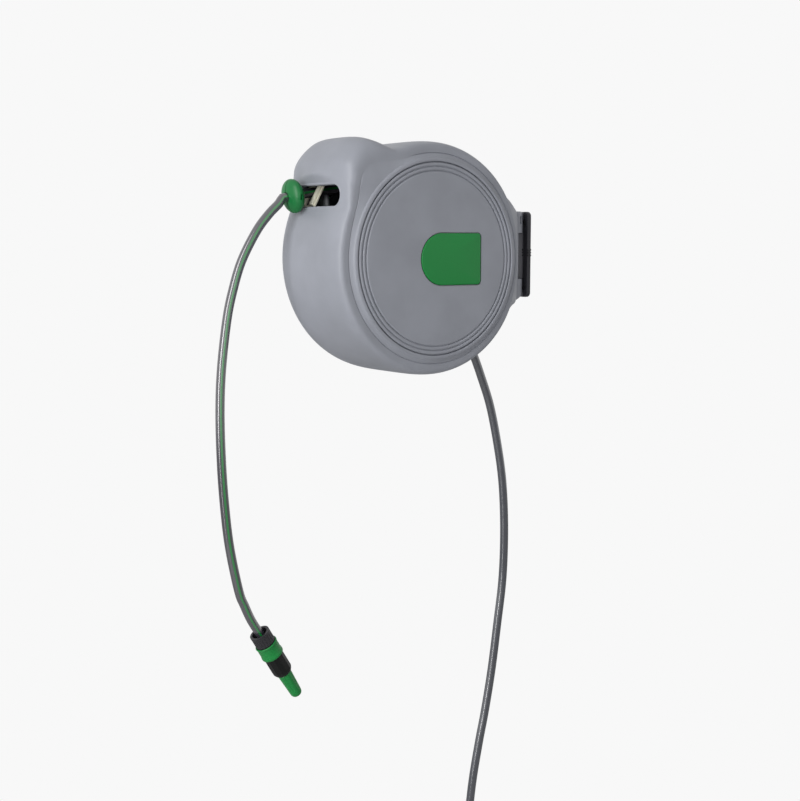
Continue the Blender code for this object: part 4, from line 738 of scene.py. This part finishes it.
def cover(side, tag):
    """Flat round cover.  Grooves 2 mm wide and deep part it from the ring and cut two raised rings off it;
    between them the surface is a half ellipse across."""
    groove_x = RING_X - 0.0022
    line = [(COVER_BACK, 0), (COVER_BACK, COVER_R), (groove_x, COVER_R), (RING_X - 0.0010, COVER_R - 0.0004)]
    u = np.linspace(-0.94, 0.94, 15)
    for outer, inner in ((COVER_R, 0.1294), (0.1284, 0.1234)):
        middle, half = (outer + inner) / 2, (outer - inner) / 2
        line += [(RING_X - 0.0017 * (1 - np.sqrt(1 - v * v)), middle - half * v) for v in u]
        line += [(groove_x, inner + 0.0001), (groove_x, inner - 0.0009)]
    u = np.linspace(-0.94, 0, 8)
    line += [(RING_X - 0.0014 * (1 - np.sqrt(1 - v * v)), 0.1224 - 0.0024 * (1 + v)) for v in u]
    line += [(RING_X, 0.10), (RING_X, 0.05), (RING_X, 0)]
    return turned("round_cover_" + tag, "housing", GREY, line, (0, AXIS_Y, 0), (side, 0, 0), 240,
                  node="side_cover_" + tag, crease=40)


def badge_outline(grow):
    """Half round towards the front, square with small corners towards the wall."""
    r, c = 0.0373, 0.0060
    front, back = AXIS_Y - 0.0302 + r, AXIS_Y + 0.0778 + grow
    r, c = r + grow, c + grow
    return np.vstack([arc(front, 0, r, 90, 270, 48), arc(back - c, c - r, c, -90, 0, 8),
                      arc(back - c, r - c, c, 0, 90, 8)])


BADGE_GAP = 0.0006
cover(-1, "left")
face = cover(1, "right")
cut_away(face, prism_cutter(badge_outline(BADGE_GAP), "X", RING_X - 0.0018, RING_X + 0.01))
slab("badge_plate", "housing", GREEN, badge_outline(-BADGE_GAP), "X", RING_X - 0.0017, RING_X + 0.0009,
     0.0019, "badge", 6)

# Wall bracket

WALL_HOLES = ((-0.016, 0.054), (0.016, 0.054), (-0.016, -0.047), (0.016, -0.047))
PLATE_T, SCOOP_R = 0.0080, 0.0272


def bracket_plate():
    """Rounded plate, hollowed round the pivot for the lugs, with four countersunk holes and their caps."""
    plate = slab("bracket_plate", "bracket", PLATE,
                 rounded_rectangle(-0.0245, 0.0245, -0.0610, 0.0700, 0.0070), "Y", -PLATE_T, 0, 0.0020,
                 "wall_bracket", 5)
    # The hollow's walls take the grey painted lighter: painted light for the shade between the lugs
    cut_away(plate, turned_cutter(rod(-0.1, 0.1, SCOOP_R), (0, PIVOT_Y, 0), (0, 0, 1), 160, PAINTED_LIGHT_GREY))
    hole = [(-0.02, 0), (-0.02, 0.0047), (-0.0080, 0.0047), (-0.0058, 0.0025), (0.02, 0.0025), (0.02, 0)]
    cap = [(-0.0062, 0), (-0.0062, 0.0030), (-0.0068, 0.0039), (-0.0073, 0.0038), (-0.0076, 0.0030),
           (-0.0076, 0)]
    for x, z in WALL_HOLES:
        cut_away(plate, turned_cutter(hole, (x, 0, z), (0, 1, 0), 40))
        turned("hole_cap", "bracket", BLACK, cap, (x, 0, z), (0, 1, 0), 40)


def bracket_hub():
    """Round hub that narrows to a neck at the plate.  Three ribs run round it, rounded by a power of the
    sine, and three on the plate's edges are level with them."""
    neck_angle = np.degrees(np.arccos(HUB_NECK / HUB_R))
    # Hub and its ribs in the grey painted lighter: painted light for the shade between the lugs
    slab("bracket_hub_block", "bracket", PAINTED_LIGHT_GREY,
         np.vstack([[(HUB_NECK, -0.003), (-HUB_NECK, -0.003)],
                    arc(0, PIVOT_Y, HUB_R, 180 - neck_angle, 360 + neck_angle, 56)]),
         "Z", HUB_BOTTOM, HUB_TOP, 0.0010, "wall_bracket")
    low, length = 0.0012, 0.0125
    u = np.linspace(0, 1, 37)
    ribs = np.column_stack([low + length * u,
                            HUB_R - 0.0002 + 0.0016 * np.abs(np.sin(3 * np.pi * u)) ** 0.6])
    turned("hub_ribs", "bracket", PAINTED_LIGHT_GREY,
           np.vstack([ribs, [(low + length, HUB_R - 0.002), (low, HUB_R - 0.002)]]),
           (0, PIVOT_Y, 0), (0, 0, 1), 64)
    for n in range(3):
        z = 0.0033 + 0.0042 * n
        slab(f"plate_rib_{n + 1}", "bracket", BLACK,
             rounded_rectangle(-0.0257, 0.0257, -0.0078, -0.0004, 0.0012, 4),
             "Z", z - 0.0013, z + 0.0013, 0.0006)


bracket_plate()
bracket_hub()

# Roller guide behind the slot

ROLLER_TOP = np.array([0, NOSE_Y + 0.0253, SLOT_Z + 0.0161])
ROLLER_FOOT = np.array([0, NOSE_Y + 0.0092, SLOT_Z - 0.0129])
ROLLER_OFFSET = 0.0108


def guide_rollers():
    """Two leaning rollers beside the hose.  The barrel is thinnest in the middle and grows with the square
    of the way to its ends; the foot is hollow round its pin."""
    length = np.linalg.norm(ROLLER_TOP - ROLLER_FOOT)
    u = np.linspace(0, 1, 13)
    barrel = np.column_stack([0.0016 + (length - 0.0022) * u, 0.0040 + 0.0002 * (2 * u - 1) ** 2])
    line = np.vstack([[(0.0060, 0), (0.0060, 0.0016), (0.0012, 0.0017), (0.0012, 0.0036)], barrel,
                      [(length, 0.0036), (length, 0)]])
    for side, tag in SIDES:
        at = ROLLER_FOOT + (HOSE_X + side * ROLLER_OFFSET, 0, 0)
        turned("roller_" + tag, "roller_" + tag, IVORY, line, at, ROLLER_TOP - ROLLER_FOOT, 48,
               node="guide_roller_" + tag)


def roller_cage():
    """Thin posts that lean like the rollers, a strip under the hose, and the sill and floor below them."""
    lean = unit(ROLLER_TOP - ROLLER_FOOT)
    behind = np.array([0, lean[2], -lean[1]])
    for tag, x, back in (("left", HOSE_X - 0.0090, 0.0066), ("right", HOSE_X + 0.0157, 0.0022)):
        low, high = ROLLER_FOOT + behind * back - lean * 0.003, ROLLER_TOP + behind * back + lean * 0.004
        half = behind * 0.0012
        post = np.array([low - half, low + half, high + half, high - half])
        slab("cage_post_" + tag, "guide", IVORY, filleted(post[:, 1:], 0.0005), "X", x - 0.0011, x + 0.0011,
             0.0003, "carriage")
    slab("guide_sill_strip", "guide", IVORY,
         rounded_rectangle(NOSE_Y + 0.0052, NOSE_Y + 0.0150, SLOT_Z - 0.0138, SLOT_Z - 0.0126, 0.0005, 3),
         "X", HOSE_X - 0.0060, HOSE_X + 0.0060, 0.0003, "carriage")
    slab("cage_sill", "guide", IVORY,
         rounded_rectangle(NOSE_Y + 0.0065, NOSE_Y + 0.0220, SLOT_Z - 0.0209, SLOT_Z - 0.0162, 0.0008, 3),
         "X", HOSE_X - 0.0150, HOSE_X + 0.0150, 0.0004, "carriage")
    # Floor in the grey painted lighter: painted light for the shade inside the slot
    slab("cage_floor", "guide", PAINTED_LIGHT_GREY,
         rounded_rectangle(NOSE_Y + 0.0215, NOSE_Y + 0.0382, SLOT_Z - 0.0209, SLOT_Z - 0.0180, 0.0008, 3),
         "X", HOSE_X - 0.0130, HOSE_X + 0.0150, 0.0004, "carriage")


def carriage_head():
    """Block that rides on the guide rod and the screw, bored for both, and the cap under it."""
    outline = [(AXIS_Y - 0.1440, 0.1065), (AXIS_Y - 0.1075, 0.1065), (AXIS_Y - 0.1075, 0.1235),
               (AXIS_Y - 0.1387, 0.1235), (AXIS_Y - 0.1440, 0.1182)]
    head = slab("carriage_head", "guide", DARK, filleted(outline, 0.0015), "X", HOSE_X - 0.0105,
                HOSE_X + 0.0105, 0.0006, "carriage")
    for angle, radius, bore in ((45.0, RIM_R - 0.0008, 0.0053), (51.0, RIM_R + 0.0152, 0.0033)):
        cut_away(head, turned_cutter(rod(-0.1, 0.1, bore), around(angle, radius)))
    slab("carriage_cap", "guide", DARK,
         rounded_rectangle(AXIS_Y - 0.1380, AXIS_Y - 0.1075, 0.1062, 0.1108, 0.0008, 3),
         "X", HOSE_X - 0.0146, HOSE_X + 0.0146, 0.0004, "carriage")


def carriage_shoe():
    """Rounded shoe under the hose behind the rollers: half an ellipsoid made squarer, every cosine and sine
    of its height raised to a power below one."""
    half_length, half_depth, height = 0.0160, 0.0066, 0.0228
    a = np.linspace(0, 2 * np.pi, 64, endpoint=False)[None]
    t = np.radians(np.concatenate([[0, 0], np.linspace(0, 90, 24)]))[:, None]
    level = np.array([0.0] + [1.0] * 25)[:, None] * np.maximum(np.cos(t), 0) ** 0.62
    x = HOSE_X + 0.0021 + half_length * level * np.cos(a)
    y = NOSE_Y + 0.0346 + half_depth * level * np.sin(a)
    z = SLOT_Z - 0.0168 + height * np.sin(t) ** 0.85 + 0 * a
    piece("carriage_shoe", "guide", SHOE, np.stack([x, y, z], -1), quads(*x.shape, False, True), "carriage",
          crease=50)


guide_rollers()
roller_cage()
carriage_head()
carriage_shoe()

# Two-part stop, drawn larger than its solid by the growth; each half is narrowed and set off the seam

STOP_GROWTH, STOP_NARROWING, HALF_SEAM = 1.04, 0.978, 0.0005


def stop_half(side, tag):
    """Half of a flattened ball: an ellipse turned about the hose, cut on the hose's upright plane."""
    a = np.radians(np.linspace(-90, 90, 49))
    along, away = STOP_GROWTH * STOP_HALF_T * np.sin(a), STOP_GROWTH * STOP_R * np.cos(a)
    up = np.cross((1, 0, 0), STOP_WAY)
    v = np.radians(np.linspace(-90, 90, 61))
    ring = np.stack([np.cos(v) * side, 0 * v, 0 * v], -1) + np.sin(v)[:, None] * up
    points = STOP_CENTRE + along[:, None, None] * STOP_WAY + away[:, None, None] * ring[None]
    points[..., 0] = HOSE_X + side * HALF_SEAM + STOP_NARROWING * (points[..., 0] - HOSE_X)
    # The halves take the green darkened as painted shade
    obj = piece("stop_" + tag, "guide", STOP_PAINTED_SHADE, points, quads(*points.shape[:2], False, True),
                "hose_stop_" + tag)
    cut_away(obj, turned_cutter(rod(-0.03, 0.03, 0.0069), STOP_CENTRE, STOP_WAY))
    if side > 0:
        y, z = STOP_CENTRE[1:]
        recess = rounded_rectangle(y - 0.0022, y + 0.0012, z - 0.0062, z + 0.0018, 0.0016)
        cut_away(obj, prism_cutter(recess, "X", HOSE_X + 0.0205, HOSE_X + 0.03))


for side, tag in SIDES:
    stop_half(side, tag)

# Quick connectors


def ribbed(count, depth, first, last, above):
    """Waves a radius: grooves of the given count and depth between two places along the axis, and only
    where the profile is farther out than one radius."""
    def wave(along, radius, a):
        held = smoothstep((along - first) / 0.001) * smoothstep((last - along) / 0.001) * (radius > above)
        return -depth * held * (0.5 - 0.5 * np.cos(count * a)) ** 2
    return wave


def faceted(count, first, last, above):
    """Flattens a turned piece into facets: the radius follows the cosine of the way to the facet's
    middle."""
    def wave(along, radius, a):
        step = 2 * np.pi / count
        across = np.mod(a, step) - step / 2
        held = smoothstep((along - first) / 0.002) * smoothstep((last - along) / 0.002) * (radius > above)
        return radius * held * (np.cos(step / 2) / np.cos(across) - 1)
    return wave


def stations(low, high, radius, count):
    """Points of one radius in equal steps along the axis, so that a wave has something to move."""
    return [(v, radius) for v in np.linspace(low, high, count)]


def connector(prefix, body, rim, way, barrel_end, end_r, collar_body):
    """Nut with its open cup, faceted barrel and sliding collar with two raised edges."""
    nut = turned(prefix + "_end_nut", body, BLACK,
                 [(-0.0042, 0.0114), (-0.0042, 0.0150)] + stations(-0.0034, 0.0138, 0.0150, 14)
                 + [(0.0148, 0.0144), (0.0148, 0), (0.006, 0), (0.006, 0.0106)], rim, way, 240,
                 node=prefix + "_nut", wave=ribbed(22, 0.0007, -0.0005, 0.0132, 0.0142))
    barrel = turned(prefix + "_barrel", body, JET,
                    [(0.0151, 0), (0.0151, 0.0146)] + stations(0.016, barrel_end - 0.0075, 0.0150, 14)
                    + [(barrel_end - 0.0055, 0.0145), (barrel_end - 0.0030, 0.0134),
                       (barrel_end - 0.0008, end_r + 0.0009), (barrel_end, end_r), (barrel_end, 0)],
                    rim, way, 240, node=prefix + "_body",
                    wave=faceted(12, 0.0200, barrel_end - 0.004, 0.0115))
    ring = [(0.0153, 0.0154), (0.0153, 0.0160), (0.0156, 0.0164), (0.0162, 0.0167), (0.0170, 0.0167),
            (0.0178, 0.0162), (0.0196, 0.0159), (0.0315, 0.0159), (0.0330, 0.0164), (0.0345, 0.0167),
            (0.0365, 0.0167), (0.0376, 0.0163), (0.0380, 0.0158), (0.0380, 0.0154)]
    collar = turned(prefix + "_slide_collar", collar_body, GREEN, ring, rim, way, 128,
                    node=prefix + "_collar")
    return [nut, barrel, collar]


def nozzle_line():
    """Cone from behind the barrel to the tip, whose last 6 mm round off to the rim of the bore."""
    along = np.concatenate([np.linspace(0.0740, 0.1110, 16), [0.1125, 0.1140, 0.1155, 0.1165, 0.1172]])
    radius = 0.0106 - 0.0022 * (along - 0.0733) / 0.044
    radius -= 0.0038 * (1 - np.sqrt(1 - np.clip((along - 0.1110) / 0.0063, 0, 1) ** 2))
    return np.vstack([[(0.0733, 0), (0.0733, 0.0101)], np.column_stack([along, radius]),
                      [(0.1173, 0.003), (0.100, 0.003), (0.100, 0)]])


end_pieces = connector("connector", "guide", NUT_RIM, END_WAY, 0.0730, 0.0112, "collar")
end_pieces.append(turned("spray_nozzle_tip", "spray_nozzle", GREEN, nozzle_line(), NUT_RIM, END_WAY, 240,
                         node="nozzle", wave=ribbed(6, 0.0006, 0.0760, 0.1060, 0.0070)))
tap_rim = feed_path[-1] + (0, 0, HOSE_IN_NUT)
tap_pieces = connector("tap", "housing", tap_rim, (0, 0, -1), 0.0480, 0.0113, "housing")
turned("feed_gland_nut", "housing", BLACK,
       [(0.1380, 0), (0.1380, 0.0088), (0.1655, 0.0088), (0.1655, 0.0110)]
       + stations(0.1661, 0.1685, 0.0115, 5)
       + [(0.1692, 0.0108), (0.1698, 0.0099), (0.1720, 0.0092), (0.1783, 0.0088), (0.1783, 0)],
       (FEED_X, AXIS_Y, 0), GLAND_WAY, 160, node="feed_gland",
       wave=ribbed(24, 0.0006, 0.1650, 0.1700, 0.0105))

# Pieces that keep the model's own shape get their finish here

FINISHES = {
    STEEL: ["pivot_pin", "housing_screw_1", "housing_screw_2", "housing_screw_3", "housing_screw_4", "axle",
            "guide_rod", "idler_pin", "pawl_pin", "power_spring", "lead_screw", "stop_screw"],
    NYLON: ["pivot_bush_upper", "pivot_bush_lower", "water_tube", "drum_gear", "idler_gear", "screw_gear"],
    BRASS: ["inlet_spigot", "bush_left", "bush_right"],
    RUBBER: ["seal_ring_1", "seal_ring_2"],
    DARK: ["drum_core", "flange_left", "flange_right", "ratchet_wheel", "ratchet_pawl"],
    BLACK: ["inlet_pipe", "coil_tie_front", "coil_tie_bottom"],
    WOUND: ["winding_core", "hose_winding"],
}
for finish, names in FINISHES.items():
    for name in names:
        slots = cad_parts[name].data.materials
        slots.clear()
        slots.append(finish)


# Light: a tall soft key from the front, above and a little right, a narrow strip below it for the hoses'
# highlight, a weak fill from the right and an even surround

def lamp(name, away, target, width, height, power):
    """An oval area lamp at a place relative to its target, turned to face it."""
    made = bpy.data.lights.new(name, "AREA")
    made.shape = "ELLIPSE"
    made.size, made.size_y = width, height
    made.energy = power
    obj = bpy.data.objects.new(name, made)
    bpy.context.scene.collection.objects.link(obj)
    d, side, up = basis(-np.array(away, dtype=float))
    place = np.array(target, dtype=float) + away
    rows = np.column_stack([side, -up, -d, place]).tolist()
    obj.matrix_world = Matrix(rows + [[0, 0, 0, 1]])


lamp("key", (0.77, -2.51, 0.80), (0, -0.25, -0.1), 1.1, 3.2, 47)
lamp("strip", (0.85, -2.34, -0.26), (0, -0.4, -0.2), 0.15, 1.8, 7)
lamp("fill", (2.48, -1.16, 0.24), (0, -0.25, -0.1), 1.4, 1.4, 5.4)

world = bpy.data.worlds.new("studio")
bpy.context.scene.world = world
world.use_nodes = True
tree = world.node_tree
tree.nodes.clear()
ray = add(tree, "ShaderNodeLightPath")
seen = add(tree, "ShaderNodeMath", {0: ray.outputs["Is Camera Ray"], 1: ray.outputs["Is Glossy Ray"]},
           operation="MAXIMUM")
seen = add(tree, "ShaderNodeMath", {0: seen.outputs[0], 1: ray.outputs["Is Transmission Ray"]},
           operation="MAXIMUM")
soft = add(tree, "ShaderNodeBackground", {"Color": linear("FFFFFF"), "Strength": 0.33})
back = add(tree, "ShaderNodeBackground", {"Color": linear("F8F8F8"), "Strength": 1.0})
mixed = add(tree, "ShaderNodeMixShader", {0: seen.outputs[0], 1: soft.outputs[0], 2: back.outputs[0]})
add(tree, "ShaderNodeOutputWorld", {"Surface": mixed.outputs[0]})

# Pale floor far below the reel; the camera sees it in the backdrop's colour
FLOOR_Z, FLOOR_HALF = -1.40, 6
floor_mesh = bpy.data.meshes.new("floor")
floor_corners = [(x, y, FLOOR_Z) for x, y in ((-FLOOR_HALF, -FLOOR_HALF), (FLOOR_HALF, -FLOOR_HALF),
                                              (FLOOR_HALF, FLOOR_HALF), (-FLOOR_HALF, FLOOR_HALF))]
floor_mesh.from_pydata(floor_corners, [], [(0, 1, 2, 3)])
floor = bpy.data.objects.new("floor", floor_mesh)
bpy.context.scene.collection.objects.link(floor)
floor_paint = bpy.data.materials.new("pale_studio_floor")
floor_paint.use_nodes = True
tree = floor_paint.node_tree
tree.nodes.clear()
ray = add(tree, "ShaderNodeLightPath")
matt = add(tree, "ShaderNodeBsdfDiffuse", {"Color": linear("E0E0E0")})
glow = add(tree, "ShaderNodeEmission", {"Color": linear("F8F8F8"), "Strength": 1.0})
shown = add(tree, "ShaderNodeMixShader", {0: ray.outputs["Is Camera Ray"], 1: matt.outputs[0],
                                          2: glow.outputs[0]})
add(tree, "ShaderNodeOutputMaterial", {"Surface": shown.outputs[0]})
floor_mesh.materials.append(floor_paint)

bpy.context.scene.view_settings.view_transform = "Standard"
